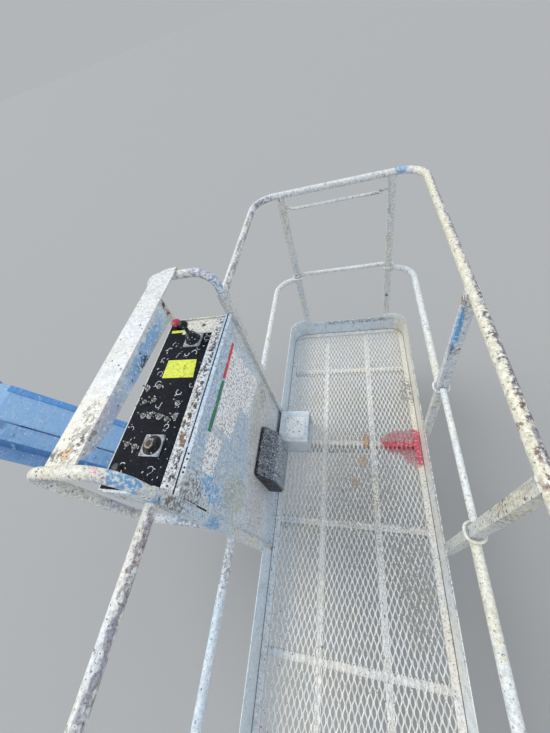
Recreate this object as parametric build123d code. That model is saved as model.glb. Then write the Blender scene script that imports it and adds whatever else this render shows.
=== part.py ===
from build123d import *
import math
import os

# Work platform of a telescopic boom lift, with its rotator and the jib arm that carries it.
# Millimetres and degrees. Z is up and Y runs along the platform. The origin is the centre of the
# pin bore at the arm's upper end, where the arm hangs on the boom. Pieces of the platform are
# drawn about the middle of its floor, with Z = 0 on top of the mesh, and placed at the end.

# Platform
platform_width = 912
platform_length = 2440
rail_r = 17
rail_bend = 120
top_rail_z = 1120
mid_rail_z = 545
post_side = 36
end_post_inset = 24
console_post_y = 394
entry_post_y = (-314, 270)

# Toe board and floor
toe_height = 160
toe_drop = 34
toe_plate = 4
toe_bend = 95
floor_plate = 6
border_width = 34
bar_width = 30
bar_depth = 40
cross_bar_y = (-794, -233, 233, 794)
long_bar_x = (-145, 145)
lattice = (5, 12)
lattice_bar = 14

# Sliding mid rails
slide_bar_r = 13
ring_bar = 12
ring_inner_r = 27
ring_sides = 12
weld = 3
grab_drop = 72
grab_r = 8
grab_inset = 28
grab_straight = 18

# Console and its guard
guard_past = 19
guard_bend = 85
guard_low_z = 735
guard_z = 1268
guard_rise = (67, 5)
guard_plate = 6
guard_width = 92
guard_back = 233
guard_corner = 70
web_plate = 4
web_line = ((-358, 0), (-325, 26), (-270, 42), (195, 76), (216, 0))
box_gap = 37
box_depth = 250
box_top = 1020
box_height = 170
box_slope = (110, 80)
box_wall = 4
box_rim = 22
panel_sink = 5
panel_plate = 4
panel_notch = (76, 84)
cover_z = (482, 1036)
cover_plate = 4
cover_lip = 18
bracket_plate = 6
bracket_above = 7
bracket_back = 26

# Arm, link and levelling head
arm_length = 1200
arm_slope = 46.5
arm_width = 165
arm_depth = 165
boss_r = 56
pin_spacing = 250
pin_r = 20
boom_pin_r = 22.5
side_gap = 5
link_bar = 16
link_depth = 66
link_eye_r = 38
head_plate = 20
head_eye_r = 50
pin_cap_r = 30
pin_cap = 12
web_reach = 105
rotator_reach = 210
head_reach = 441
head_z = 130
cylinder_lug_at = 920
cylinder_lug_drop = 106
cylinder_pin_r = 17.5
lug_r = 36
lug_plate = 16
lug_gap = 56
lug_foot = 120
lug_root = 10
tray_seam = 8
tray_width = 75
tray_low = -58
tray_ledge = 57
tray_plate = 4
tray_end_gap = 190
tray_lead = 30
tray_slant = (80, 40)
tray_bracket = 40
tray_bracket_x = (260, 580, 860)
end_taper = 130

# Rotator and support under the floor
rotator_r = 88
shaft_r = 34
rotator_clear = 6
deck_z = (-135, 215)
deck_plate = 20
rotator_band = 40
rotator_waist = 8
cap_r = 52
cap_height = 14
deck_rim = 22
pad_root = 40
pad_reach = 130
pad_width = 160
pad_inset = 24
pad_margin = 20
pad_plate = 16
rib_plate = 12
rib_root = 10
rib_top = 36
rib_foot = 40
beam = 60
beam_y = 233
beam_end = 30

# Joysticks, switches and stop button. Places are from the outer edge of the console box and its middle
joystick_places = ((146, 248, 40), (141, -220, 0))
joystick_base = 76
joystick_base_plate = 6
boot_r = (30, 12)
boot_height = 32
stem_r = 6
grip_r = 17
grip_height = 28
grip_edge = 6
nut_across = 18
nut_height = 6
lever_across = 8
lever_height = 24
switch_places = ((17, 11), (68, 18), (32, -50), (69, -43), (178, -56), (50, -107), (81, -107),
                 (121, -110), (155, -121), (184, -111), (35, -217), (69, -226))
stop_place = (34, 345)
stop_r = 21
stop_collar_r = 15
stop_height = 28

# Small parts
document_box = (86, 250, 320)
document_y = 10
document_z = 100
document_chin = 40
document_foot = 0.8
document_front = 0.7
document_lid = 0.25
pedal_box = (180, 207, 156)
pedal_gap = 24
pedal_y = 270
hood_wall = 8
pedal_tilt = 14
pedal_rim = 20
pedal_height = 42
pedal_foot = 40

# Fits
run_fit = 0.05
seat_gap = 0.2
face_gap = 0.3

rail_x = platform_width / 2 - rail_r
rail_y = platform_length / 2 - rail_r
end_post_x = rail_x - rail_bend - end_post_inset
toe_x = rail_x - post_side / 2
toe_y = rail_y - post_side / 2
head_x = -rail_x - head_reach
box_x = (-rail_x - box_gap - box_depth, -rail_x - box_gap)
head_at = (arm_length * math.cos(math.radians(arm_slope)), -arm_length * math.sin(math.radians(arm_slope)))
platform_at = Location((head_at[0] - head_x, 0, head_at[1] - head_z))
arm_place = Rotation(0, arm_slope, 0)
plate_in = arm_width / 2 + side_gap + link_bar + side_gap
axis_x = head_x + rotator_reach
bar_bottom = -floor_plate - bar_depth
through = 3 * (deck_z[1] - deck_z[0])
box_half = console_post_y - post_side / 2 - bracket_plate
panel_top = box_top - panel_sink + panel_plate


def block(x, y, z):
    """A box between the given pairs of coordinates."""
    size = (x[1] - x[0], y[1] - y[0], z[1] - z[0])
    return Pos((x[0] + x[1]) / 2, (y[0] + y[1]) / 2, (z[0] + z[1]) / 2) * Box(*size)


def rod_y(radius, y, x=0, z=0):
    """A round bar along Y between two values of y."""
    length = y[1] - y[0]
    return Pos(x, (y[0] + y[1]) / 2, z) * Rotation(90, 0, 0) * Cylinder(radius, length)


def pipe(points, radius, bend):
    """A round bar along straight runs that meet in arcs, or in mitres where bend is 0."""
    path = FilletPolyline(*points, radius=bend) if bend else Polyline(*points)
    plane = Plane(origin=path @ 0, z_dir=path % 0)
    return sweep(plane * Circle(radius), path=path, transition=Transition.RIGHT)


def side_plate(sketch, y):
    """A flat plate with its outline in the XZ plane, between two values of y."""
    return extrude(Plane((0, y[1], 0), x_dir=(1, 0, 0), z_dir=(0, -1, 0)) * sketch, y[1] - y[0])


def save(name, shape, place):
    """Write one node, with every separate solid that it holds."""
    solids = [place * solid for solid in shape.solids()]
    export_step(solids[0] if len(solids) == 1 else Compound(solids), f"parts/{name}.step")


# Guard rails

def top_rail():
    end = console_post_y + post_side / 2
    corners = [(-rail_x, end), (-rail_x, rail_y), (rail_x, rail_y),
               (rail_x, -rail_y), (-rail_x, -rail_y), (-rail_x, -end)]
    return pipe([(x, y, top_rail_z) for x, y in corners], rail_r, rail_bend)


def mid_rails():
    """One bent rail round each corner of the platform, from post to post."""
    half = post_side / 2
    # columns: side of the corner in x and in y, and the y of the post that ends it on the long side
    table = [(-1, 1, console_post_y), (1, 1, entry_post_y[1]),
             (1, -1, entry_post_y[0]), (-1, -1, -console_post_y)]
    rails = []
    for sx, sy, post_y in table:
        points = [(sx * rail_x, post_y + sy * half, mid_rail_z), (sx * rail_x, sy * rail_y, mid_rail_z),
                  (sx * (end_post_x + half), sy * rail_y, mid_rail_z)]
        rails.append(pipe(points, rail_r, rail_bend))
    return Compound(rails)


def post(x, y, top):
    half = post_side / 2
    return block((x - half, x + half), (y - half, y + half), (bar_bottom, top))


def posts(places, coped):
    """Square posts; those under the top rail are coped to its round underside."""
    top = top_rail_z if coped else top_rail_z + rail_r
    shapes = []
    for x, y in places:
        shape = post(x, y, top)
        if coped:
            along = Rotation(90, 0, 0) if abs(x) > end_post_x + 1 else Rotation(0, 90, 0)
            shape -= Pos(x, y, top_rail_z) * along * Cylinder(rail_r + seat_gap, 3 * post_side)
        shapes.append(shape)
    return Compound([solid for shape in shapes for solid in shape.solids()])


def grab_bars():
    """Thin bent bars under the top rail at both ends, between the posts."""
    bars = []
    for sy in (-1, 1):
        x = end_post_x - post_side / 2
        z = top_rail_z - grab_drop
        y = sy * rail_y
        start = x - grab_straight
        points = [(-x, y, z), (-start, y, z), (-start + grab_inset, y - sy * grab_inset, z),
                  (start - grab_inset, y - sy * grab_inset, z), (start, y, z), (x, y, z)]
        bars.append(pipe(points, grab_r, 0))
    return Compound(bars)


def slide_bar(a, b):
    """A loose mid rail with a ring round each of its two posts."""
    ring_z = mid_rail_z + rail_r + face_gap
    bar_z = ring_z + ring_bar + slide_bar_r - weld
    gap = ring_inner_r - weld
    length = math.dist(a, b)
    ux, uy = (b[0] - a[0]) / length, (b[1] - a[1]) / length
    start = (a[0] + ux * gap, a[1] + uy * gap, bar_z)
    end = (b[0] - ux * gap, b[1] - uy * gap, bar_z)
    shape = pipe([start, end], slide_bar_r, 0)
    outline = RegularPolygon(ring_inner_r + ring_bar, ring_sides)
    ring = extrude(outline - RegularPolygon(ring_inner_r, ring_sides, major_radius=False), ring_bar)
    for x, y in (a, b):
        shape += Pos(x, y, ring_z) * ring
    return shape


# Toe board and floor

def ring_plate(x, y, bend, wall, z):
    """An upright plate bent into a rounded rectangle, with the given outer half sizes."""
    outer = RectangleRounded(2 * x, 2 * y, bend)
    inner = RectangleRounded(2 * (x - wall), 2 * (y - wall), bend - wall)
    return Pos(0, 0, z[0]) * extrude(outer - inner, z[1] - z[0])


def toe_board():
    board = ring_plate(toe_x, toe_y, toe_bend, toe_plate, (bar_bottom, toe_height))
    low = end_post_x - post_side / 2
    for sy in (-1, 1):
        y = sorted((sy * (toe_y - toe_bend), sy * (toe_y + 1)))
        board -= block((-low, low), y, (toe_height - toe_drop, toe_height + 1))
    return board - block((-toe_x - 1, -toe_x + toe_bend / 2), (-console_post_y, console_post_y),
                         (bar_bottom - 1, toe_height + 1))


def floor_frame():
    """The border round the mesh, an angle with its flat leg on top."""
    x, y, bend = toe_x - toe_plate, toe_y - toe_plate, toe_bend - toe_plate
    outer = RectangleRounded(2 * x, 2 * y, bend)
    inner = RectangleRounded(2 * (x - border_width), 2 * (y - border_width), bend - border_width)
    flange = Pos(0, 0, -floor_plate) * extrude(outer - inner, floor_plate)
    return flange + ring_plate(x, y, bend, floor_plate, (bar_bottom, -floor_plate))


def floor_mesh():
    """The open sheet as a lattice of flat bars with a rim."""
    inset = toe_plate + border_width
    x, y, bend = toe_x - inset, toe_y - inset, toe_bend - inset
    gaps = RectangleRounded(2 * (x - lattice_bar), 2 * (y - lattice_bar), bend - lattice_bar)
    for column in range(1, lattice[0]):
        gaps -= Pos(2 * x * column / lattice[0] - x, 0) * Rectangle(lattice_bar, 2 * y)
    for row in range(1, lattice[1]):
        gaps -= Pos(0, 2 * y * row / lattice[1] - y) * Rectangle(2 * x, lattice_bar)
    sheet = RectangleRounded(2 * x, 2 * y, bend) - gaps
    return Pos(0, 0, -floor_plate) * extrude(sheet, floor_plate)


def cross_bars():
    x = toe_x - toe_plate - floor_plate
    half = bar_width / 2
    return Compound([block((-x, x), (y - half, y + half), (bar_bottom, -floor_plate)) for y in cross_bar_y])


def long_bars():
    """Two bars along the floor, in lengths that are welded in between the cross bars."""
    end = toe_y - toe_plate - floor_plate
    half = bar_width / 2
    starts = [-end] + [y + half for y in cross_bar_y]
    stops = [y - half for y in cross_bar_y] + [end]
    return Compound([block((x - half, x + half), span, (bar_bottom, -floor_plate))
                     for x in long_bar_x for span in zip(starts, stops)])


# Console

def guard_tubes():
    """A bent loop at each end of the console, from the top of the post round to its outer face.

    The near loop stands a little higher and slopes down to its outer corner.
    """
    out = box_x[0] - guard_past
    seat = guard_z - guard_plate - rail_r - seat_gap
    tubes = []
    # columns: side, how far the loop rises over its seat at the post and at the outer corner
    for sy, at_post, at_corner in ((-1, *guard_rise), (1, 0, 0)):
        y = sy * console_post_y
        points = [(-rail_x, y, top_rail_z + rail_r), (-rail_x, y, seat + at_post), (out, y, seat + at_corner),
                  (out, y, guard_low_z), (-rail_x - post_side / 2, y, guard_low_z)]
        tubes.append(pipe(points, rail_r, guard_bend))
    return Compound(tubes)


def guard_bar():
    """The flat bar from the near loop's side over the far loop, with a web under its inner edge."""
    outer = -rail_x - guard_back
    inner = outer + guard_width
    near, far = -console_post_y + rail_r + face_gap, console_post_y + rail_r
    low = guard_z - guard_plate
    bar = block((outer, inner), (near, far), (low, guard_z))
    corner = bar.edges().filter_by(Axis.Z).sort_by(Axis.Y)[-2:].sort_by(Axis.X)[0]
    bar = fillet(corner, guard_corner)
    outline = Polyline(*[(y, low - depth) for y, depth in web_line], close=True)
    side = Plane((inner, 0, 0), x_dir=(0, 1, 0), z_dir=(1, 0, 0))
    return bar + extrude(side * make_face(outline), -web_plate)


def panel_shape(gap, low, high):
    """The panel's outline, which is cut back at its far inner corner, drawn in by a gap."""
    x = (box_x[0] + box_wall + gap, box_x[1] - box_rim - gap)
    half = box_half - box_wall - gap
    notch = (box_x[0] + panel_notch[0] - gap, box_half - panel_notch[1] - gap)
    return block(x, (-half, half), (low, high)) - block((notch[0], x[1] + 1), (notch[1], half + 1),
                                                        (low - 1, high + 1))


def console_box():
    """A folded tray, open on top, in which the control panel lies."""
    low = box_top - box_height
    outer = block(box_x, (-box_half, box_half), (low, box_top))
    inside = panel_shape(0, box_top - panel_sink, box_top + 1)
    slope = Polyline((box_x[0] - 1, low - 1), (box_x[0] + box_slope[0], low - 1),
                     (box_x[0] - 1, low + box_slope[1]), close=True)
    return outer - inside - side_plate(make_face(slope), (-box_half - 1, box_half + 1))


def console_brackets():
    """A plate at each end of the box, from its outer edge back to the console post."""
    high, low = box_top + bracket_above, box_top - box_height
    back, front = box_x[0] + bracket_back, -rail_x - cover_plate / 2
    outline = Polyline((back, high), (front, high), (front, low), (back + box_slope[0], low),
                       (back, low + box_slope[1]), close=True)
    plates = []
    for sy in (-1, 1):
        y = sorted((sy * box_half, sy * (box_half + bracket_plate)))
        plates.append(side_plate(make_face(outline), y))
    return Compound([solid for plate in plates for solid in plate.solids()])


def upright_plate(z, lips):
    """A sheet between the console posts, with folded lips at the given heights."""
    half = console_post_y - post_side / 2
    x = -rail_x + cover_plate / 2
    sheet = block((x - cover_plate, x), (-half, half), z)
    for low in lips:
        sheet += block((x - cover_lip, x), (-half, half), (low, low + cover_plate))
    return sheet


def front_cover():
    return upright_plate(cover_z, (cover_z[1] - cover_plate,))


def kick_plate():
    """The lower sheet, with a fold along the bottom that meets the floor border."""
    half = console_post_y - post_side / 2
    sheet = upright_plate((bar_bottom, cover_z[0]), ())
    x = -rail_x + cover_plate / 2
    return sheet + block((x, -toe_x + toe_plate), (-half, half), (-floor_plate, 0))


def control_panel():
    z = box_top - panel_sink
    return panel_shape(seat_gap, z, z + panel_plate)


def joystick(x, y, tall):
    """A square base plate, a rubber boot, a stem and a grip; tall is 0 where the stick is missing."""
    base_top = panel_top + joystick_base_plate
    boot_top = base_top + boot_height
    half = joystick_base / 2
    base = block((x - half, x + half), (y - half, y + half), (panel_top, base_top))
    boot = Pos(x, y, base_top + boot_height / 2) * Cone(*boot_r, boot_height)
    if not tall:
        return base + boot
    stem = Pos(x, y, boot_top + tall / 2) * Cylinder(stem_r, tall)
    grip = Pos(x, y, boot_top + tall + grip_height / 2) * Cylinder(grip_r, grip_height)
    return base + boot + stem + chamfer(grip.edges().filter_by(GeomType.CIRCLE), grip_edge)


def joysticks():
    return Compound([solid for x, y, tall in joystick_places
                     for solid in joystick(box_x[0] + x, y, tall).solids()])


def stop_button():
    """A mushroom button on a collar."""
    half = stop_height / 2
    collar = Pos(0, 0, half / 2) * Cylinder(stop_collar_r, half)
    head = Pos(0, 0, half * 1.5) * Cylinder(stop_r, half)
    head = chamfer(head.edges().filter_by(GeomType.CIRCLE), half / 3)
    return Pos(box_x[0] + stop_place[0], stop_place[1], panel_top) * (collar + head)


def switches():
    """Toggles on hexagon nuts, as separate small solids."""
    nut = extrude(RegularPolygon(nut_across / 2, 6, major_radius=False), nut_height)
    lever = extrude(RegularPolygon(lever_across / 2, 6, major_radius=False), lever_height)
    toggle = nut + lever
    return Compound([solid for x, y in switch_places
                     for solid in (Pos(box_x[0] + x, y, panel_top) * toggle).solids()])


def document_holder():
    """A black moulded box with a sloping lid, hung on the kick plate."""
    depth, width, height = document_box
    x = -rail_x + cover_plate / 2
    low, high = document_z, document_z + height
    profile = Polyline((x, low), (x + depth * document_foot, low), (x + depth, low + document_chin),
                       (x + depth, low + height * document_front), (x + depth * document_lid, high),
                       (x, high), close=True)
    y = (document_y - width / 2, document_y + width / 2)
    return side_plate(make_face(profile), y)


def foot_switch():
    """A low hood that is open towards the middle of the floor, with a pedal inside."""
    depth, width, height = pedal_box
    start = -rail_x + cover_plate / 2 + pedal_gap
    pedal_x = start + depth / 2
    x = (start, start + depth)
    y = (pedal_y - width / 2, pedal_y + width / 2)
    wall = hood_wall
    hood = block(x, y, (0, height))
    hood -= block((x[0] + wall, x[1] + 1), (y[0] + wall, y[1] - wall), (wall, height - wall))
    plate = Box(depth - 3 * pedal_rim, width - 2 * pedal_rim, wall)
    pedal = Pos(pedal_x + pedal_rim / 2, pedal_y, pedal_height) * Rotation(0, pedal_tilt, 0) * plate
    foot = block((pedal_x - pedal_foot, pedal_x), (pedal_y - pedal_foot / 2, pedal_y + pedal_foot / 2),
                 (wall, pedal_height))
    return hood + (pedal + foot)


# Arm and link

def arm():
    """The box arm, tapered to a pin boss at each end."""
    half = arm_depth / 2
    near, far = end_taper, arm_length - end_taper
    outline = Polyline((0, -boss_r), (near, -half), (far, -half), (arm_length, -boss_r),
                       (arm_length, boss_r), (far, half), (near, half), (0, boss_r), close=True)
    body = side_plate(make_face(outline), (-arm_width / 2, arm_width / 2))
    for x in (0, arm_length):
        body += rod_y(boss_r, (-plate_in + face_gap, plate_in - face_gap), x)
    body -= rod_y(boom_pin_r, (-plate_in - 1, plate_in + 1), 0)
    return body - rod_y(pin_r + run_fit, (-plate_in - 1, plate_in + 1), arm_length)


def cylinder_lugs():
    """Two tapered lugs under the arm for the rod of the lift cylinder."""
    top = -arm_depth / 2
    outline = Sketch() + [Pos(cylinder_lug_at, -cylinder_lug_drop) * Circle(lug_r),
                          Pos(cylinder_lug_at, top - lug_root / 2) * Rectangle(lug_foot, lug_root)]
    lug = make_hull(outline.edges())
    lug -= Pos(cylinder_lug_at, top + lug_r) * Rectangle(lug_foot, 2 * lug_r)
    lug -= Pos(cylinder_lug_at, -cylinder_lug_drop) * Circle(cylinder_pin_r)
    return Compound([solid for sy in (-1, 1) for solid in side_plate(
        lug, sorted((sy * lug_gap / 2, sy * (lug_gap / 2 + lug_plate)))).solids()])


def hose_tray():
    """A folded guard along the arm's side: a top, a side and a ledge, on short brackets."""
    top = arm_depth / 2
    start, end = tray_end_gap, arm_length - tray_end_gap
    root = -arm_width / 2
    side = root - tray_seam - tray_width
    low_start, low_end = start - tray_lead, end - tray_slant[0]
    web = Polyline((low_start, tray_low), (low_end, tray_low), (end, tray_low + tray_slant[1]), (end, top),
                   (start, top), close=True)
    tray = side_plate(make_face(web), (side, side + tray_plate))
    tray += block((start, end), (side, root - tray_seam), (top - tray_plate, top))
    ledge = (side - tray_ledge, side + tray_plate)
    tray += block((low_start, low_end), ledge, (tray_low, tray_low + tray_plate))
    half = tray_bracket / 2
    for x in tray_bracket_x:
        tray += block((x - half, x + half), (side, root), (tray_low + half, top - tray_plate - half))
    return tray


def link():
    """Two flat bars, one on each side of the arm."""
    bars = None
    inner = arm_width / 2 + side_gap
    for sy in (-1, 1):
        y = sorted((sy * inner, sy * (inner + link_bar)))
        bar = block((0, arm_length), y, (-link_depth / 2, link_depth / 2))
        for x in (0, arm_length):
            bar += rod_y(link_eye_r, y, x)
            bar -= rod_y(pin_r + run_fit, (y[0] - 1, y[1] + 1), x)
        bars = bar if bars is None else bars + bar
    return bars


# Levelling head and rotator

def head():
    """Two side plates, a web and two decks that grip the rotator's shaft."""
    upper, lower = (head_x, head_z), (head_x, head_z - pin_spacing)
    web = (head_x + web_reach - head_plate, head_x + web_reach)
    outline = Sketch() + [Pos(*upper) * Circle(boss_r), Pos(*lower) * Circle(head_eye_r)]
    outline += Pos((web[0] + web[1]) / 2, (deck_z[0] + deck_z[1]) / 2) * Rectangle(
        head_plate, deck_z[1] - deck_z[0])
    side = make_hull(outline.edges())
    shape = block(web, (-plate_in, plate_in), deck_z)
    for sy in (-1, 1):
        y = sorted((sy * plate_in, sy * (plate_in + head_plate)))
        shape += side_plate(side, y)
    deck = Sketch() + Pos(axis_x, 0) * Circle(cap_r + deck_rim)
    deck += Pos((web[0] + web[1]) / 2, 0) * Rectangle(head_plate, 2 * (plate_in + head_plate))
    deck = make_hull(deck.edges())
    shape += Pos(0, 0, deck_z[1]) * extrude(deck, deck_plate)
    shape += Pos(0, 0, deck_z[0] - deck_plate) * extrude(deck, deck_plate)
    for x, z in (upper, lower):
        shape -= rod_y(pin_r + run_fit, (-plate_in - 2 * head_plate, plate_in + 2 * head_plate), x, z)
    return shape - Pos(axis_x, 0, 0) * Cylinder(shaft_r + run_fit, through)


def head_pins():
    """The long pin of the arm and the two short pins of the link, each with a head."""
    inside = plate_in + head_plate + face_gap
    outside = inside + pin_cap
    low_z = head_z - pin_spacing
    upper = rod_y(pin_r, (-outside, outside), head_x, head_z)
    pins = [upper]
    for sy in (-1, 1):
        cap = sorted((sy * inside, sy * outside))
        pins[0] += rod_y(pin_cap_r, cap, head_x, head_z)
        pin = rod_y(pin_r, sorted((sy * (arm_width / 2 + 2), sy * outside)), head_x, low_z)
        pins.append(pin + rod_y(pin_cap_r, cap, head_x, low_z))
    return Compound([solid for pin in pins for solid in pin.solids()])


def rotator_shaft():
    low, high = deck_z[0] - deck_plate, deck_z[1] + deck_plate
    shape = Pos(axis_x, 0, (low + high) / 2) * Cylinder(shaft_r, high - low + 2)
    shape += Pos(axis_x, 0, high + face_gap + cap_height / 2) * Cylinder(cap_r, cap_height)
    return shape + Pos(axis_x, 0, low - face_gap - cap_height / 2) * Cylinder(cap_r, cap_height)


def rotator():
    """The actuator's housing with raised end rings and a pad that bolts to the support."""
    low, high = deck_z[0] + rotator_clear, deck_z[1] - rotator_clear
    middle = (low + high) / 2
    shape = Cylinder(rotator_r - rotator_waist, high - low)
    end = (high - low - rotator_band) / 2
    for z in (-end, 0, end):
        shape += Pos(0, 0, z) * Cylinder(rotator_r, rotator_band)
    pad = (low - middle + pad_inset, high - middle - pad_inset)
    shape += block((pad_root, pad_reach), (-pad_width / 2, pad_width / 2), pad)
    return Pos(axis_x, 0, middle) * (shape - Cylinder(shaft_r + 2 * run_fit, through))


def support():
    """The mounting plate, its gussets and the beams that run under the floor."""
    x = axis_x + pad_reach
    top = deck_z[1] - rotator_clear - pad_inset
    low = bar_bottom - beam
    half = pad_width / 2 + pad_margin
    shape = block((x, x + pad_plate), (-half, half), (low, top))
    cross = (x, x + beam)
    shape += block(cross, (-beam_y - beam / 2, beam_y + beam / 2), (low, bar_bottom))
    for sy in (-1, 1):
        at = sy * beam_y
        shape += block((x, toe_x - beam_end), (at - beam / 2, at + beam / 2), (low, bar_bottom))
        rib = Polyline((x + rib_root, top), (x + rib_top, top), (x + beam + rib_foot, low),
                       (x + rib_root, low), close=True)
        y = sorted((sy * pad_width / 2, sy * (pad_width / 2 + rib_plate)))
        shape += side_plate(make_face(rib), y)
    return shape


os.makedirs("parts", exist_ok=True)

link_place = Location((0, 0, -pin_spacing)) * arm_place
side_posts = [(rail_x, y) for y in entry_post_y]
end_posts = [(sx * end_post_x, sy * rail_y) for sx in (-1, 1) for sy in (-1, 1)]
console_posts = [(-rail_x, sy * console_post_y) for sy in (-1, 1)]

save("arm", arm(), arm_place)
save("cylinder_lugs", cylinder_lugs(), arm_place)
save("hose_tray", hose_tray(), arm_place)
save("levelling_link", link(), link_place)

# columns: node name, shape in the platform's frame
for name, shape in [
    ("levelling_head", head()),
    ("head_pins", head_pins()),
    ("rotator_shaft", rotator_shaft()),
    ("rotator_housing", rotator()),
    ("platform_support", support()),
    ("floor_frame", floor_frame()),
    ("cross_bars", cross_bars()),
    ("long_bars", long_bars()),
    ("floor_mesh", floor_mesh()),
    ("toe_board", toe_board()),
    ("end_posts", posts(end_posts, True)),
    ("side_posts", posts(side_posts, True)),
    ("console_posts", posts(console_posts, False)),
    ("top_rail", top_rail()),
    ("mid_rails", mid_rails()),
    ("grab_bars", grab_bars()),
    ("slide_bar_far", slide_bar((-end_post_x, rail_y), (end_post_x, rail_y))),
    ("slide_bar_near", slide_bar((-end_post_x, -rail_y), (end_post_x, -rail_y))),
    ("slide_bar_side", slide_bar((rail_x, entry_post_y[0]), (rail_x, entry_post_y[1]))),
    ("guard_tubes", guard_tubes()),
    ("guard_bar", guard_bar()),
    ("console_box", console_box()),
    ("console_brackets", console_brackets()),
    ("control_panel", control_panel()),
    ("joysticks", joysticks()),
    ("stop_button", stop_button()),
    ("switches", switches()),
    ("front_cover", front_cover()),
    ("kick_plate", kick_plate()),
    ("document_holder", document_holder()),
    ("foot_switch", foot_switch()),
]:
    save(name, shape, platform_at)
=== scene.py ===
# %% [markdown]
# # The work platform of a boom lift
#
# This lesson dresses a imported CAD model: a railed platform with a mesh floor, its control console, and
# the blue jib arm that holds it. The model's solids are exact and bare. Each cell below adds one finish
# or one set of pieces, and says why it was made that way.
#
# The first cell loads the frame. Everything is in metres and in the model's own axes, so a new piece
# needs no fitting: it is placed by numbers that the model also uses.

# %% Load the frame
import math

import bpy
import bmesh
import numpy as np
from mathutils import Matrix, Vector


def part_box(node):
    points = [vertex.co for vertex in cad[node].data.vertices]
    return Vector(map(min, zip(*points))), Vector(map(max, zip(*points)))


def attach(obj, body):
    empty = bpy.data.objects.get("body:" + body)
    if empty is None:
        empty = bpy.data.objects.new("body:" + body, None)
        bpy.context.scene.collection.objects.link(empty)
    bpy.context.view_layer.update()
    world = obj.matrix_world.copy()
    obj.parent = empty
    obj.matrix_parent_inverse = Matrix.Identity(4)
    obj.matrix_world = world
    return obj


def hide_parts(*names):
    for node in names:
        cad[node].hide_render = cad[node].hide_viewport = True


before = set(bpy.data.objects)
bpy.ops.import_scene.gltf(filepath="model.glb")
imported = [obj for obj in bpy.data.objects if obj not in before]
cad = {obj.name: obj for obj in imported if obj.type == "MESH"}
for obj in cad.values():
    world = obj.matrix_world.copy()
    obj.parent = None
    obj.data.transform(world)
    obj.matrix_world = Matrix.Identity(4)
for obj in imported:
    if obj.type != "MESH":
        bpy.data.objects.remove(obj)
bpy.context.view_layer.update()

# %% [markdown]
# ## Where the platform stands
#
# The model's origin is the pin at the top of the arm, which is far from the platform. Most pieces here
# belong to the platform, so their numbers are given from the middle of its floor, with zero height on
# top of the mesh. One vector carries them to their place. They could be written in the model's frame at
# once, but then each number would hide a sum.

# %% The platform's own origin
mesh_low, mesh_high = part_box("floor_mesh")
origin = np.array([(mesh_low.x + mesh_high.x) / 2, (mesh_low.y + mesh_high.y) / 2, mesh_high.z])
rail_x, rail_y, rail_r, rail_z, mid_z = 0.439, 1.203, 0.017, 1.120, 0.545
post_half = 0.018
print("platform origin:", origin.round(4))

# %% [markdown]
# ## The camera
#
# The view is from inside the platform, at head height, with a wide lens that looks down and a little to
# the left. The camera is given by where it is and by three directions. It could be turned by three
# angles, but directions don't depend on the order of turning. A camera in Blender looks along its own
# minus Z, so the third column of its matrix is the view direction turned round.

# %% Make the camera
eye = origin + np.array([0.0926, -0.5392, 1.8445])
ahead = np.array([-0.27253, 0.58155, -0.76650])
level = np.array([math.cos(math.radians(25.109)), math.sin(math.radians(25.109)), 0.0])
tilt = math.radians(-22.546)
upward = np.cross(level, ahead)
across = level * math.cos(tilt) + upward * math.sin(tilt)
upward = upward * math.cos(tilt) - level * math.sin(tilt)

camera = bpy.data.objects.new("camera", bpy.data.cameras.new("camera"))
bpy.context.scene.collection.objects.link(camera)
camera.matrix_world = Matrix([[*row, place] for row, place in zip(
    np.stack([across, upward, -ahead], axis=1).tolist(), eye.tolist())] + [[0, 0, 0, 1]])
focal_length, frame_height, sensor = 300.35, 733, 36.0
camera.data.sensor_width = sensor
camera.data.lens = focal_length / frame_height * sensor
camera.data.clip_start = 0.02
bpy.context.scene.camera = camera
print("camera at", eye.round(3))

# %% [markdown]
# ## Writing materials as sums
#
# A painted surface is a sum of simple patterns: a tint that drifts, dots of dry paint, streaks, grime.
# In the shader editor that is a hundred nodes. Here a node's output is wrapped so that plus, minus and
# times add the Math nodes, and one method makes every other node from its settings and its sockets.

# %% Wires
class Wire:
    """A node's output; each operator adds a Math node and gives its output."""

    def __init__(self, finish, socket):
        self.finish, self.socket = finish, socket

    def other(self, name):
        """Another output of the same node."""
        return Wire(self.finish, self.socket.node.outputs[name])

    def math(self, operation, *values):
        """One Math node on these values."""
        return self.finish.node("Math", {"operation": operation}, dict(enumerate(values)))

    def __add__(self, other):
        return self.math("ADD", self, other)

    def __radd__(self, other):
        return self.math("ADD", other, self)

    def __sub__(self, other):
        return self.math("SUBTRACT", self, other)

    def __rsub__(self, other):
        return self.math("SUBTRACT", other, self)

    def __mul__(self, other):
        return self.math("MULTIPLY", self, other)

    def __rmul__(self, other):
        return self.math("MULTIPLY", other, self)

    def __pow__(self, other):
        return self.math("POWER", self, other)

    def __abs__(self):
        return self.math("ABSOLUTE", self)

    def either(self, other):
        """The greater of two values: as masks, where one or the other holds."""
        return self.math("MAXIMUM", self, other)


print("wires can be added, subtracted, multiplied and raised")

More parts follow.
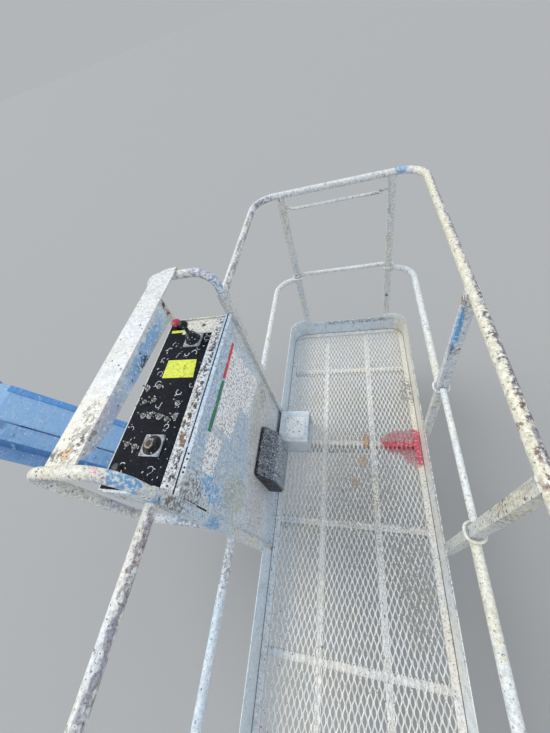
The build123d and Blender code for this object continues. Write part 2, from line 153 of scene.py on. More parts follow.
# %% Finishes
class Finish:
    """One material while it is written: its node tree and the short ways to add to it."""

    def __init__(self, name):
        """Start an empty material; place is the point's object coordinates."""
        self.material = bpy.data.materials.new(name)
        self.material.use_nodes = True
        self.tree = self.material.node_tree
        self.tree.nodes.clear()
        self.place = self.node("TexCoord", out="Object")

    def node(self, kind, settings=(), sockets=(), out=0):
        """Add one node: settings first, then the values or links of its sockets; give one output."""
        made = self.tree.nodes.new("ShaderNode" + kind)
        for key, value in dict(settings).items():
            setattr(made, key, value)
        for key, value in dict(sockets).items():
            if isinstance(value, Wire):
                self.tree.links.new(value.socket, made.inputs[key])
            else:
                made.inputs[key].default_value = value
        return Wire(self, made.outputs[out]) if len(made.outputs) else None

    def moved(self, scale, shift=(0.0, 0.0, 0.0)):
        """The place of a point, scaled and shifted, so that a pattern can be stretched."""
        return self.node("Mapping", sockets={"Vector": self.place, "Scale": scale, "Location": shift})

    def noise(self, where, scale, detail=3.0, rough=0.55):
        """Cloudy noise between 0 and 1; its lumps are about 1 / scale metres wide."""
        return self.node("TexNoise", sockets={"Vector": where, "Scale": scale, "Detail": detail,
                                              "Roughness": rough})

    def step(self, value, low, high):
        """A smooth step: 0 where value is below low, 1 above high."""
        return self.node("MapRange", {"interpolation_type": "SMOOTHSTEP"},
                         {"Value": value, "From Min": low, "From Max": high})

    def mix(self, factor, first, second):
        """The first colour where factor is 0, the second where it is 1."""
        colours = {0: factor}
        for key, value in ((6, first), (7, second)):
            colours[key] = value if isinstance(value, Wire) else (*value, 1.0)
        return self.node("Mix", {"data_type": "RGBA"}, colours, out=2)

    def frayed(self, where, scale, reach):
        """The same place, pushed about by a noise, so that round dots become ragged blobs."""
        push = self.noise(where, scale, 2.0).other("Color")
        return self.node("VectorMath", {"operation": "MULTIPLY_ADD"}, {0: push, 1: (reach,) * 3, 2: where})

    def dots(self, where, scale, share, size):
        """Dots on a jittered grid: a share of the cells holds one, of random size up to the given one."""
        near = self.node("TexVoronoi", sockets={"Vector": where, "Scale": scale})
        draw = self.node("SeparateColor", sockets={0: near.other("Color")})
        held = self.step(draw, 1.0 - share - 0.01, 1.0 - share + 0.01)
        return self.step(draw.other("Green") * size - near, 0.0, 0.06) * held

    def facing(self):
        """The three parts of the surface's outward direction."""
        return self.node("SeparateXYZ", sockets={0: self.node("NewGeometry", out="Normal")})

    def rounding(self, radius):
        """The surface's direction as if every edge were rounded by this radius."""
        return self.node("Bevel", {"samples": 4}, {"Radius": radius})

    def chipped(self, normal, ragged):
        """Where the rounded direction leaves the flat one, frayed: the edges, where paint chips first."""
        flat = self.node("NewGeometry", out="Normal")
        same = self.node("VectorMath", {"operation": "DOT_PRODUCT"}, {0: normal, 1: flat}, out="Value")
        return self.step((1.0 - same) + (ragged - 0.5) * 0.16, 0.035, 0.075)

    def done(self, colour, rough, bump=None, distance=0.001, strength=0.6, normal=None, **fixed):
        """Close the material: colours and roughness in, a bump on the normal, constants on the shader."""
        sockets = {"Roughness": rough}
        sockets["Base Color"] = colour if isinstance(colour, Wire) else (*colour, 1.0)
        if bump is not None:
            relief = {"Height": bump, "Distance": distance, "Strength": strength}
            if normal is not None:
                relief["Normal"] = normal
            normal = self.node("Bump", sockets=relief)
        if normal is not None:
            sockets["Normal"] = normal
        sockets.update({key.replace("_", " "): value for key, value in fixed.items()})
        shader = self.node("BsdfPrincipled", sockets=sockets)
        self.node("OutputMaterial", sockets={"Surface": shader})
        return self.material


print("materials are written with Wire and Finish")

# %% [markdown]
# ## Old white paint
#
# The rails, posts and console were painted many times and used on painting jobs since. Close up, the
# white drifts between cool grey and cream, and it carries thousands of blots of dry paint in dark grey,
# brown, blue and white, runs that hang down on upright faces, and brown grime where it is rubbed most.
# Each of those is a mask between 0 and 1, and the colours are laid over one another in that order. A
# painted picture could be wrapped round the parts instead, but it would stretch and repeat, while masks
# that are worked out from a point's place run on over every edge and joint.
#
# Marks of a strong colour are placed from a table: each is a soft lump in space with a frayed
# edge. A thin lump beside a rail reaches only that side of it.

# %% Paint colours
paints = {
    "white": (0.74, 0.76, 0.77), "cream": (0.78, 0.74, 0.62), "yellow": (0.74, 0.66, 0.38),
    "sky": (0.45, 0.60, 0.76), "blue": (0.08, 0.35, 0.70), "violet": (0.27, 0.26, 0.46),
    "red": (0.62, 0.045, 0.09), "pink": (0.80, 0.30, 0.40), "orange": (0.70, 0.38, 0.10),
    "rust": (0.24, 0.12, 0.06), "black": (0.02, 0.02, 0.02), "dirt": (0.10, 0.085, 0.075),
    "olive": (0.46, 0.46, 0.34), "beige": (0.62, 0.57, 0.54),
}
tones = {
    "cool shade": (0.42, 0.47, 0.53), "run": (0.34, 0.33, 0.31), "mottle": (0.31, 0.34, 0.39),
    "fleck": (0.17, 0.17, 0.19), "chalk": (0.88, 0.88, 0.87), "tar": (0.035, 0.035, 0.04),
    "mud": (0.17, 0.14, 0.12), "navy": (0.10, 0.17, 0.34), "grime": (0.19, 0.165, 0.15),
    "soot_and_shade_tone": (0.10, 0.09, 0.12), "ash_and_shade": (0.33, 0.31, 0.40), "gap": (0.03, 0.028, 0.025),
    "bare edge": (0.26, 0.23, 0.21),
}
print(len(paints), "paints for marks and", len(tones), "tones of wear")

# %% Marks that are placed one by one
def lump(finish, ragged, centre, size, fray=2.6):
    """A lump around a point of the platform: 1 inside, frayed at its rim.

    Its measure is the length of (p - centre) / size, with a noise added, and it ends where that is 1.
    """
    size = np.array(size) * np.ones(3)
    shift = (-(origin + np.array(centre)) / size).tolist()
    reach = finish.node("VectorMath", {"operation": "LENGTH"},
                        {0: finish.moved((1 / size).tolist(), shift)}, out="Value")
    return 1.0 - finish.step(reach + (ragged - 0.5) * fray, 1.0 - 0.15 * fray, 1.0)


def seam_line(finish):
    """A dark line along the border's outer edge: the distance to a rounded rectangle, seen from inside."""
    half, bend = (0.417, 1.181), 0.091
    at = finish.node("SeparateXYZ", sockets={0: finish.moved((1.0, 1.0, 1.0), (-origin).tolist())})
    beyond_x = (abs(at) - (half[0] - bend)).either(0.0)
    beyond_y = (abs(at.other("Y")) - (half[1] - bend)).either(0.0)
    gap = (beyond_x * beyond_x + beyond_y * beyond_y) ** 0.5 - bend
    return finish.step(gap, -0.0045, -0.0025)


print("lumps and the seam can be placed")

# %% The recipe of splattered paint
def splattered(name, body, cream, shift=0.0, speckle=1.0, grime=0.5, soot_and_shade=0.0, runs=0.35, rough=0.42,
               marks=(), smears=(), seam=False, edge=0.0018):
    """Worn paint over steel, between two tints.

    speckle is the amount of dots, grime of brown wear, runs of drips, and soot_and_shade of the dark
    on faces that look towards +X: smoke stains, and painted shade on the side away from the sun.
    marks are (paint, strength, centre, size) and cover; smears are the same, broken up into flecks.
    """
    f = Finish(name)
    home = f.moved((1.0, 1.0, 1.0), (shift, shift * 0.7, shift * 1.3))
    torn = f.frayed(home, 95.0, 0.016)
    drift = f.noise(home, 5.0, 4.0, 0.6)
    cloudy = f.noise(home, 30.0, 4.0, 0.65)
    ragged = f.noise(home, 66.0, 5.0, 0.75)
    mottled = f.noise(f.moved((1.0, 1.0, 1.0), (3.1 + shift, 1.7, 0.4)), 95.0, 3.0, 0.6)
    fine = f.noise(home, 190.0, 2.0, 0.6)
    facing = f.facing()
    upright = 1.0 - f.step(abs(facing.other("Z")), 0.5, 0.8)
    colour = f.mix(f.step(drift * 0.6 + cloudy * 0.4, 0.44, 0.56), body, cream)
    colour = f.mix(f.step(cloudy, 0.47, 0.60) * 0.32, colour, tones["cool shade"])
    for paint, strength, centre, size in marks:
        colour = f.mix(lump(f, ragged, centre, size, 1.5) * strength, colour, paints[paint])
    hanging = f.step(f.noise(f.moved((1.0, 1.0, 0.12), (shift, 0.0, 0.0)), 60.0, 2.0), 0.58, 0.68) * upright
    colour = f.mix(hanging * runs, colour, tones["run"])
    colour = f.mix(f.step(mottled, 0.52, 0.60) * min(0.75, 0.38 * speckle), colour, tones["mottle"])
    colour = f.mix(f.step(fine, 0.54, 0.62) * min(0.8, 0.42 * speckle), colour, tones["fleck"])
    pale = f.step(1.0 - mottled, 0.53, 0.60)
    colour = f.mix(pale * 0.5, colour, tones["chalk"])
    blots = f.dots(torn, 150.0, 0.30 * speckle, 0.46).either(f.dots(torn, 78.0, 0.15 * speckle, 0.40))
    blots = blots.either(f.dots(f.frayed(home, 45.0, 0.026), 32.0, 0.06 * speckle, 0.32))
    tone = f.mix(f.step(f.noise(home, 60.0, 1.0), 0.42, 0.5), tones["tar"], tones["mud"])
    tone = f.mix(f.dots(home, 9.0, 0.35, 0.9) * 0.7, tone, tones["navy"])
    colour = f.mix(blots * 0.85, colour, tone)
    worn = f.step(drift * 0.5 + ragged * 0.5, 0.60 - 0.05 * grime, 0.64 - 0.04 * grime)
    worn = worn * min(1.0, 1.3 * grime)
    colour = f.mix(worn * 0.55, colour, tones["grime"])
    broken = f.step(ragged * 0.6 + mottled * 0.4, 0.47, 0.54)
    for paint, strength, centre, size in smears:
        colour = f.mix(lump(f, cloudy, centre, size) * broken * strength, colour, paints[paint])
    # Faces that look towards +X are darkened: soot, and painted shade, for that side faces away from the sun.
    if soot_and_shade:
        drawn = f.noise(f.moved((1.0, 0.22, 1.0), (shift, 0.0, 0.0)), 62.0, 4.0, 0.65)
        sooty_and_shaded = f.step(facing + (drawn - 0.5) * 1.6, 0.12, 0.42)
        sooty_and_shaded = sooty_and_shaded * f.step(drawn * 0.7 + mottled * 0.3, 0.44, 0.54)
        soot_and_shade_tone = f.mix(f.step(fine, 0.45, 0.55), tones["soot_and_shade_tone"], tones["ash_and_shade"])
        colour = f.mix(sooty_and_shaded * soot_and_shade, colour, soot_and_shade_tone)
    if seam:
        colour = f.mix(seam_line(f) * 0.85, colour, tones["gap"])
    normal = None
    if edge:
        normal = f.rounding(edge)
        colour = f.mix(f.chipped(normal, ragged) * 0.5, colour, tones["bare edge"])
    relief = cloudy * 0.5 + blots * 0.5 + pale * 0.5 + mottled * 0.6
    return f.done(colour, rough + worn * 0.25 + blots * 0.12 - pale * 0.06, relief, 0.0016, 0.65, normal,
                  Specular_IOR_Level=0.4)


print("splattered paint can be mixed")

# %% [markdown]
# ## One finish for each part of the platform
#
# The top rail is darker on faces that look towards +X: partly soot, which is never wiped there, and
# partly painted shade, for those faces look away from the sun. The toe board and the border of the floor
# are written lighter than the rails, as painted light that makes up for the shade low in the basket, and
# the board has few dots. The console's paint is written pale blue, partly painted cool shade of its inner
# side. The console is heavily splattered, and the bar over it is nearly clean. One material could serve
# them all, but they didn't wear alike, so each gets its own tints, amounts and marks, and the same recipe.
# Marks cover like a brush stroke; smears are broken up, as old tar, scuffs and dry overspray are. Pale sky
# blue marks are painted cool shade, and the cream on the right of the floor and board is painted sunlight.

# %% Marks on the rails and posts
rail_marks = [
    ("yellow", 0.55, (0.425, 0.42, 1.122), (0.035, 1.10, 0.05)),
    ("blue", 0.7, (0.336, 1.203, 1.134), (0.040, 0.03, 0.03)),
]
rail_smears = [
    ("black", 0.80, (0.465, -0.20, 1.134), (0.034, 1.10, 0.05)),
    ("violet", 0.45, (0.456, 0.10, 1.135), (0.028, 1.40, 0.05)),
    ("dirt", 0.80, (0.457, -0.30, 1.132), (0.028, 0.75, 0.035)),
    ("rust", 0.45, (0.446, -0.45, 1.130), (0.030, 0.40, 0.030)),
    ("rust", 0.6, (-0.424, -0.53, 1.120), (0.02, 0.09, 0.03)),
]
mid_marks = [
    ("yellow", 0.45, (0.439, -0.10, 0.545), (0.05, 0.60, 0.05)),
    # The pale sky blue on the near left mid rail is painted cool shade.
    ("sky", 0.5, (-0.430, -0.80, 0.545), (0.05, 0.60, 0.05)),
]
mid_smears = [
    ("rust", 0.6, (-0.439, -0.50, 0.545), (0.04, 0.10, 0.04)),
    ("dirt", 0.9, (0.225, 1.180, 1.048), (0.050, 0.03, 0.03)),
]
post_marks = [
    ("blue", 0.95, (0.419, 0.254, 0.945), (0.019, 0.020, 0.160)),
    ("yellow", 0.55, (0.442, -0.305, 0.97), (0.04, 0.04, 0.16)),
    # The pale sky blue on the near console post is painted cool shade.
    ("sky", 0.6, (-0.439, -0.394, 0.85), (0.04, 0.04, 0.36)),
    ("blue", 0.7, (-0.425, -0.405, 0.78), (0.03, 0.03, 0.06)),
    ("blue", 0.6, (-0.430, -0.410, 1.155), (0.03, 0.03, 0.05)),
]
post_smears = [
    ("rust", 0.9, (0.432, 0.252, 0.850), (0.022, 0.03, 0.025)),
    ("rust", 0.9, (0.446, -0.296, 0.672), (0.018, 0.03, 0.022)),
    ("dirt", 0.65, (0.446, -0.300, 0.885), (0.04, 0.05, 0.12)),
    ("rust", 0.9, (0.439, 0.270, 1.075), (0.04, 0.04, 0.04)),
    ("dirt", 0.8, (-0.439, -0.394, 1.05), (0.04, 0.04, 0.10)),
]
print("marks on rails and posts:",
      sum(map(len, (rail_marks, rail_smears, mid_marks, mid_smears, post_marks, post_smears))))

# %% Marks on the floor and the toe board
floor_marks = [
    ("orange", 0.9, (0.106, 0.252, 0.0), (0.026, 0.060, 0.03)),
    ("orange", 0.8, (0.082, 0.112, 0.0), (0.028, 0.040, 0.03)),
    ("orange", 0.8, (0.032, -0.012, 0.0), (0.026, 0.034, 0.03)),
    # Painted light: the cream on the right is warm sunlight, and the pale sky blue on the left is cool shade
    # under the console.
    ("cream", 0.7, (0.40, 0.55, 0.0), (0.12, 0.70, 0.06)),
    ("sky", 0.45, (-0.40, 0.2, 0.0), (0.16, 1.5, 0.10)),
    ("yellow", 0.8, (0.385, 1.150, 0.0), (0.04, 0.03, 0.03)),
    ("red", 1.0, (0.385, 0.215, 0.0), (0.105, 0.125, 0.12)),
    ("red", 1.0, (0.300, 0.240, 0.0), (0.115, 0.080, 0.12)),
]
floor_smears = [
    # The broad dark patch in the middle is partly soot and partly painted shadow.
    ("dirt", 0.4, (0.08, 0.02, 0.0), (0.24, 0.50, 0.06)),
    ("dirt", 0.8, (0.39, 0.60, 0.0), (0.05, 0.12, 0.03)),
    ("dirt", 0.5, (0.30, -0.45, 0.0), (0.10, 0.30, 0.06)),
]
toe_marks = [
    # Painted light: pale sky blue for cool shade on the left and far boards, cream for sunlight on the right
    # board.
    ("sky", 0.6, (-0.42, 0.0, 0.08), (0.08, 1.5, 0.18)),
    ("sky", 0.55, (-0.10, 1.19, 0.05), (0.50, 0.06, 0.18)),
    ("cream", 0.8, (0.42, 0.75, 0.08), (0.07, 0.75, 0.18)),
]
toe_smears = [
    ("dirt", 0.7, (0.10, 1.185, 0.112), (0.42, 0.03, 0.030)),
    ("dirt", 0.7, (0.418, 0.30, 0.150), (0.03, 1.10, 0.022)),
]
print("marks on floor and board:", sum(map(len, (floor_marks, floor_smears, toe_marks, toe_smears))))

# %% Marks round the console
guard_marks = [
    ("cream", 0.8, (-0.625, -0.33, 1.268), (0.11, 0.17, 0.04)),
    ("orange", 0.7, (-0.626, -0.342, 1.268), (0.016, 0.022, 0.02)),
    # The pale sky blue along the web is painted cool shade, cast by the plate's edge.
    ("sky", 0.8, (-0.582, -0.06, 1.205), (0.012, 0.50, 0.060)),
    ("violet", 0.35, (-0.582, -0.27, 1.230), (0.012, 0.14, 0.060)),
    ("blue", 0.6, (-0.582, 0.02, 1.222), (0.012, 0.150, 0.035)),
    ("olive", 0.6, (-0.582, 0.08, 1.192), (0.012, 0.15, 0.016)),
]
guard_smears = [
    ("dirt", 0.6, (-0.610, -0.290, 1.268), (0.035, 0.110, 0.02)),
    ("black", 0.8, (-0.650, -0.350, 1.268), (0.030, 0.022, 0.02)),
    ("black", 0.8, (-0.600, -0.310, 1.268), (0.016, 0.030, 0.02)),
    ("black", 0.9, (-0.582, -0.023, 1.212), (0.010, 0.045, 0.025)),
]
tube_marks = [
    ("cream", 0.85, (-0.690, -0.394, 1.262), (0.12, 0.06, 0.05)),
    ("cream", 0.75, (-0.560, -0.394, 1.310), (0.14, 0.06, 0.06)),
    ("yellow", 0.35, (-0.640, -0.390, 1.290), (0.05, 0.03, 0.03)),
]
tube_smears = [
    ("blue", 0.85, (-0.440, -0.400, 1.245), (0.060, 0.05, 0.070)),
    ("violet", 0.45, (-0.475, -0.412, 1.280), (0.040, 0.03, 0.03)),
    ("pink", 1.0, (-0.474, -0.386, 1.306), (0.026, 0.020, 0.020)),
    ("blue", 0.4, (-0.560, -0.390, 0.735), (0.10, 0.05, 0.05)),
    ("black", 0.9, (-0.600, -0.408, 1.262), (0.070, 0.020, 0.022)),
    ("violet", 0.8, (-0.600, -0.412, 1.250), (0.12, 0.025, 0.035)),
    ("violet", 0.75, (-0.480, 0.390, 1.220), (0.09, 0.06, 0.11)),
    ("blue", 0.6, (-0.444, 0.390, 1.160), (0.05, 0.05, 0.08)),
    # The rust and black on the far vertical tube are partly dirt and partly painted shade.
    ("rust", 0.95, (-0.745, 0.380, 1.110), (0.04, 0.04, 0.09)),
    ("black", 0.95, (-0.740, 0.380, 1.150), (0.04, 0.04, 0.07)),
    ("violet", 0.4, (-0.745, -0.394, 0.84), (0.05, 0.05, 0.16)),
    ("dirt", 0.4, (-0.50, -0.394, 0.735), (0.10, 0.04, 0.04)),
]
console_marks = [
    # The two pale sky blue marks on the cover are painted cool shade.
    ("sky", 0.7, (-0.437, -0.13, 0.70), (0.04, 0.26, 0.20)),
    ("sky", 0.8, (-0.440, 0.13, 1.030), (0.05, 0.28, 0.030)),
    ("olive", 0.55, (-0.437, 0.16, 0.52), (0.04, 0.22, 0.08)),
    ("olive", 0.5, (-0.437, -0.26, 0.60), (0.04, 0.08, 0.13)),
    ("beige", 0.6, (-0.437, 0.02, 0.35), (0.04, 0.42, 0.18)),
    ("cream", 0.9, (-0.570, 0.335, 1.020), (0.13, 0.08, 0.03)),
    ("cream", 0.7, (-0.713, 0.00, 1.020), (0.03, 0.50, 0.03)),
]
console_smears = [
    ("blue", 0.9, (-0.437, -0.275, 0.870), (0.03, 0.085, 0.075)),
    ("blue", 0.8, (-0.437, -0.310, 0.790), (0.03, 0.050, 0.070)),
    ("blue", 0.7, (-0.437, 0.12, 1.012), (0.03, 0.10, 0.020)),
    ("blue", 0.5, (-0.437, 0.00, 0.98), (0.03, 0.38, 0.040)),
    ("rust", 0.8, (-0.437, 0.29, 0.47), (0.03, 0.06, 0.05)),
    ("dirt", 0.7, (-0.437, -0.34, 0.95), (0.03, 0.06, 0.10)),
]
strip_smears = [
    ("black", 0.95, (-0.466, 0.0, 1.026), (0.030, 0.60, 0.03)),
    ("rust", 1.0, (-0.470, -0.205, 1.026), (0.02, 0.035, 0.02)),
]
print("marks round the console:", sum(map(len, (guard_marks, guard_smears, tube_marks, tube_smears,
                                                console_marks, console_smears, strip_smears))))

# %% Mix the white paints
finishes = {
    # On the rails, the dark on faces that look towards +X is soot and painted shade.
    "rails": splattered("rail_paint", paints["white"], (0.78, 0.75, 0.67), speckle=0.8, grime=0.4, soot_and_shade=0.75,
                        marks=rail_marks, smears=rail_smears),
    "mid_rails": splattered("mid_rail_paint", (0.74, 0.78, 0.80), (0.78, 0.76, 0.70), shift=1.1, speckle=0.7,
                            grime=0.25, marks=mid_marks, smears=mid_smears),
    "posts": splattered("post_paint", (0.66, 0.70, 0.74), (0.76, 0.73, 0.64), shift=2.3, speckle=0.9,
                        grime=0.4, marks=post_marks, smears=post_smears),
    # The border and the toe board are written lighter than the rails: painted light, which makes up for the
    # shade low in the basket.
    "border": splattered("border_paint", (0.92, 0.91, 0.89), (0.95, 0.88, 0.78), shift=4.1, speckle=0.75,
                         grime=0.4, marks=floor_marks, smears=floor_smears, seam=True),
    "toe": splattered("toe_board_paint", (0.92, 0.96, 0.98), (0.96, 0.92, 0.82), shift=5.9, speckle=0.35,
                      grime=0.15, marks=toe_marks, smears=toe_smears),
    "guard": splattered("guard_paint", (0.69, 0.72, 0.76), (0.71, 0.70, 0.67), shift=8.2, speckle=0.5,
                        grime=0.05, runs=0.2, marks=guard_marks, smears=guard_smears),
    "tubes": splattered("guard_tube_paint", (0.78, 0.80, 0.81), (0.84, 0.80, 0.68), shift=9.4, speckle=1.0,
                        grime=0.4, marks=tube_marks, smears=tube_smears),
    # The console's pale blue body is partly painted cool shade, for its inner side faces away from the sun.
    "console": splattered("console_paint", (0.62, 0.73, 0.86), (0.74, 0.78, 0.80), shift=12.7, speckle=1.1,
                          grime=0.4, runs=0.5, marks=console_marks, smears=console_smears),
    "strip": splattered("panel_strip_paint", (0.84, 0.85, 0.87), (0.88, 0.85, 0.78), shift=13.9, speckle=1.6,
                        grime=0.3, smears=strip_smears),
    "mesh": splattered("mesh_paint", (0.80, 0.81, 0.81), (0.83, 0.80, 0.72), shift=15.1, speckle=0.5,
                       grime=0.3, marks=floor_marks, smears=floor_smears, edge=0.0),
    "grey_box": splattered("grey_box_paint", (0.68, 0.79, 0.89), (0.78, 0.84, 0.88), shift=17.5,
                           speckle=0.6, grime=0.1, rough=0.36),
    "grey_plate": splattered("grey_plate_paint", (0.30, 0.34, 0.42), (0.40, 0.42, 0.48), shift=19.5,
                             speckle=1.6, grime=0.4, rough=0.4),
}
print("white paints:", sorted(finishes))

# %% Give the CAD nodes their finish
def wear(finish, *names):
    """Paint these CAD nodes with one finish."""
    for name in names:
        cad[name].data.materials.clear()
        cad[name].data.materials.append(finishes[finish])


wear("rails", "top_rail")
wear("mid_rails", "mid_rails", "grab_bars")
wear("posts", "end_posts", "side_posts", "console_posts")
wear("border", "floor_frame", "cross_bars", "long_bars")
wear("toe", "toe_board")
wear("guard", "guard_bar")
wear("tubes", "guard_tubes")
wear("console", "console_box", "console_brackets", "front_cover", "kick_plate")
wear("grey_box", "foot_switch")
print("platform painted")

# %% [markdown]
# ## Blue, black and bare steel
#
# The arm is a light machine blue, chalky with dust on the faces that look up and deeper on the sides.
# The rotator under the console is dark grey, and pins and shaft are zinc plated. They could be the white
# recipe in other tints, but these parts were painted once and only weathered since. So they share one of
# their own: dust by the direction a face looks, scuffs along the length, and a few dots of dry paint.

# %% Mix the paints of the arm and the rotator
tones.update({"dry white": (0.74, 0.76, 0.78), "dry black": (0.05, 0.05, 0.06)})


def coated(name, body, dusty, dust=0.4, metal=0.0, rough=0.4, shift=0.0, edge=0.003, speckle=0.4):
    """Machine paint or plating: body colour, dust on upper faces, scuffs, worn edges, dots of dry paint."""
    f = Finish(name)
    home = f.moved((1.0, 1.0, 1.0), (shift, shift, 0.0))
    cloudy = f.noise(home, 14.0, 5.0, 0.6)
    fine = f.noise(home, 90.0, 3.0, 0.6)
    settled = f.step(f.facing().other("Z") + (cloudy - 0.5) * 0.7, 0.15, 0.85) * dust
    scuff = f.step(f.noise(f.moved((1.0, 0.25, 1.0), (shift, 0.0, 3.0)), 95.0, 3.0), 0.56, 0.64)
    torn = f.frayed(home, 80.0, 0.012)
    spots = f.dots(torn, 60.0, 0.20 * speckle, 0.30).either(f.dots(torn, 120.0, 0.4 * speckle, 0.4))
    specks = f.dots(f.frayed(home, 60.0, 0.012), 60.0, 0.2 * speckle, 0.26)
    normal = f.rounding(edge)
    colour = f.mix(f.step(cloudy, 0.42, 0.60) * 0.3, body, tuple(0.78 * part for part in body))
    colour = f.mix(settled, colour, dusty)
    colour = f.mix(scuff * 0.35, colour, tuple(0.5 * part + 0.36 for part in dusty))
    colour = f.mix(f.step(fine, 0.54, 0.64) * 0.25, colour, tuple(0.6 * part for part in body))
    colour = f.mix(f.chipped(normal, fine) * 0.45, colour, tuple(0.45 * part for part in body))
    colour = f.mix(spots * 0.8, colour, tones["dry white"])
    colour = f.mix(specks * 0.85, colour, tones["dry black"])
    return f.done(colour, rough + settled * 0.3 + scuff * 0.15, cloudy * 0.6 + spots * 0.4, 0.001, 0.4,
                  normal, Metallic=metal)


finishes["blue"] = coated("arm_blue", (0.13, 0.37, 0.72), (0.34, 0.53, 0.78), dust=0.8, shift=1.0,
                          speckle=0.45)
finishes["tray_blue"] = coated("tray_blue", (0.035, 0.18, 0.46), (0.30, 0.50, 0.76), dust=0.8, shift=1.6,
                               speckle=0.45)
# Painted shade: this darker blue stands for the shaded rounding of the arm's far top edge.
finishes["edge_shade_blue"] = coated("arm_edge_shade_blue", (0.06, 0.27, 0.68), (0.17, 0.42, 0.76), dust=0.4, shift=2.0,
                               speckle=0.3)
finishes["dark"] = coated("rotator_paint", (0.055, 0.06, 0.07), (0.30, 0.29, 0.28), dust=0.4, shift=3.0)
finishes["plated"] = coated("plated_steel", (0.55, 0.55, 0.53), (0.40, 0.37, 0.33), dust=0.3, metal=0.9,
                            rough=0.32, shift=5.0, speckle=0.3)
finishes["stained_bolt"] = coated("stained_bolt", (0.10, 0.085, 0.075), (0.45, 0.44, 0.42), dust=0.35,
                                  metal=0.4, rough=0.5, shift=6.0)
wear("blue", "arm", "cylinder_lugs", "levelling_link", "levelling_head")
wear("tray_blue", "hose_tray")
wear("dark", "rotator_housing")
wear("plated", "head_pins", "rotator_shaft")
wear("posts", "platform_support")
print("arm and rotator painted")

# %% [markdown]
# ## Black plastic under dry paint
#
# The control panel is a deep black with few spots, for it is wiped now and then. The document box is
# black moulded plastic covered with overspray. On white, dark blots show; here the blots are the pale
# ones, over a black that turns grey where it is dusty, so black gets a recipe of its own. On the rubber
# the grey clouds and pale dots are also painted sheen.

# %% Mix the blacks
tones.update({"dust_and_sheen": (0.30, 0.31, 0.33), "overspray": (0.40, 0.47, 0.55), "dull fleck": (0.26, 0.28, 0.33),
              "pale blot": (0.66, 0.68, 0.72)})


def blackened(name, body=(0.006, 0.007, 0.010), shift=0.0, speckle=1.0, rough=0.5, dust_and_sheen=0.25, edge=0.002,
              marks=(), gloss=0.3, overspray=0.0):
    """Black with grey clouds of dust and painted sheen, ragged dots of dry paint, overspray on +X faces."""
    f = Finish(name)
    home = f.moved((1.0, 1.0, 1.0), (shift, shift, shift))
    cloudy = f.noise(home, 30.0, 5.0, 0.65)
    fine = f.noise(home, 105.0, 3.0, 0.6)
    # Grey clouds over the black: dust, and on the rubber also painted sheen.
    colour = f.mix(f.step(cloudy, 0.45, 0.75) * dust_and_sheen, body, tones["dust_and_sheen"])
    for paint, strength, centre, size in marks:
        colour = f.mix(lump(f, f.noise(home, 62.0, 4.0, 0.7), centre, size) * strength, colour, paints[paint])
    torn = f.frayed(home, 85.0, 0.014)
    spots = f.dots(torn, 150.0, 0.5 * speckle, 0.44).either(f.dots(torn, 70.0, 0.25 * speckle, 0.38))
    if overspray:
        facing = f.facing()
        open_side = f.step(facing, 0.15, 0.6) * (0.4 + f.step(facing, 0.80, 0.97) * 0.6)
        dry = f.step(f.noise(home, 125.0, 4.0, 0.75), 0.46, 0.55).either(f.step(fine, 0.48, 0.56) * 0.6)
        colour = f.mix(dry * open_side * overspray, colour, tones["overspray"])
        spots = spots * (open_side * 0.7 + 0.3)
    colour = f.mix(f.step(fine, 0.56, 0.64) * min(1.0, 0.45 * speckle), colour, tones["dull fleck"])
    colour = f.mix(spots * 0.85, colour, tones["pale blot"])
    return f.done(colour, rough + cloudy * 0.2 + spots * 0.1, cloudy * 0.4 + spots * 0.6, 0.001, 0.5,
                  f.rounding(edge), Specular_IOR_Level=gloss)


panel_stain = ("rust", 0.25, (-0.605, -0.225, 1.019), (0.035, 0.035, 0.02))
finishes["panel"] = blackened("panel_black", (0.004, 0.006, 0.013), shift=1.3, speckle=0.10, dust_and_sheen=0.03,
                              gloss=0.10, marks=[panel_stain])
finishes["box"] = blackened("document_box_black", shift=4.7, speckle=1.9, dust_and_sheen=0.35, overspray=1.0)
# On the rubber the grey clouds and the pale dots are partly painted sheen, where boots and knobs catch the
# light.
finishes["rubber"] = blackened("boot_rubber", shift=8.0, speckle=0.4, rough=0.45, dust_and_sheen=0.25, gloss=0.5)
wear("panel", "control_panel")
print("blacks mixed")

# %% [markdown]
# ## Blank labels
#
# The labels of the console are blank films. Each keeps its colour, its worn spots and an even grey grain,
# which breaks up the flat tone. They could be flat colours, but then they would look newer than the paint
# round them.

# %% Mix the labels and the red button
tones.update({"ink": (0.20, 0.21, 0.25), "dark blot": (0.06, 0.055, 0.05)})


def label(name, colour, worn, grain=0.0, shift=0.0, rough=0.5, fineness=210.0):
    """A printed film: one colour, an even fine grain, ragged worn spots and a few blots of paint."""
    f = Finish(name)
    home = f.moved((1.0, 1.0, 1.0), (shift, shift, shift))
    tint = f.mix(f.step(f.noise(home, 20.0, 4.0, 0.6), 0.4, 0.65) * 0.2, colour,
                 tuple(0.8 * part for part in colour))
    printed = f.step(f.noise(home, fineness, 2.0, 0.7), 0.52, 0.57)
    tint = f.mix(printed * grain, tint, tones["ink"])
    bare = f.step(f.noise(home, 48.0, 5.0, 0.7), 0.60, 0.64)
    tint = f.mix(bare * 0.75, tint, worn)
    blots = f.dots(f.frayed(home, 80.0, 0.008), 60.0, 0.12, 0.35)
    tint = f.mix(blots * 0.8, tint, tones["dark blot"])
    return f.done(tint, rough + printed * 0.05, bare * -0.5 + blots * 0.6, 0.0006, 0.5)


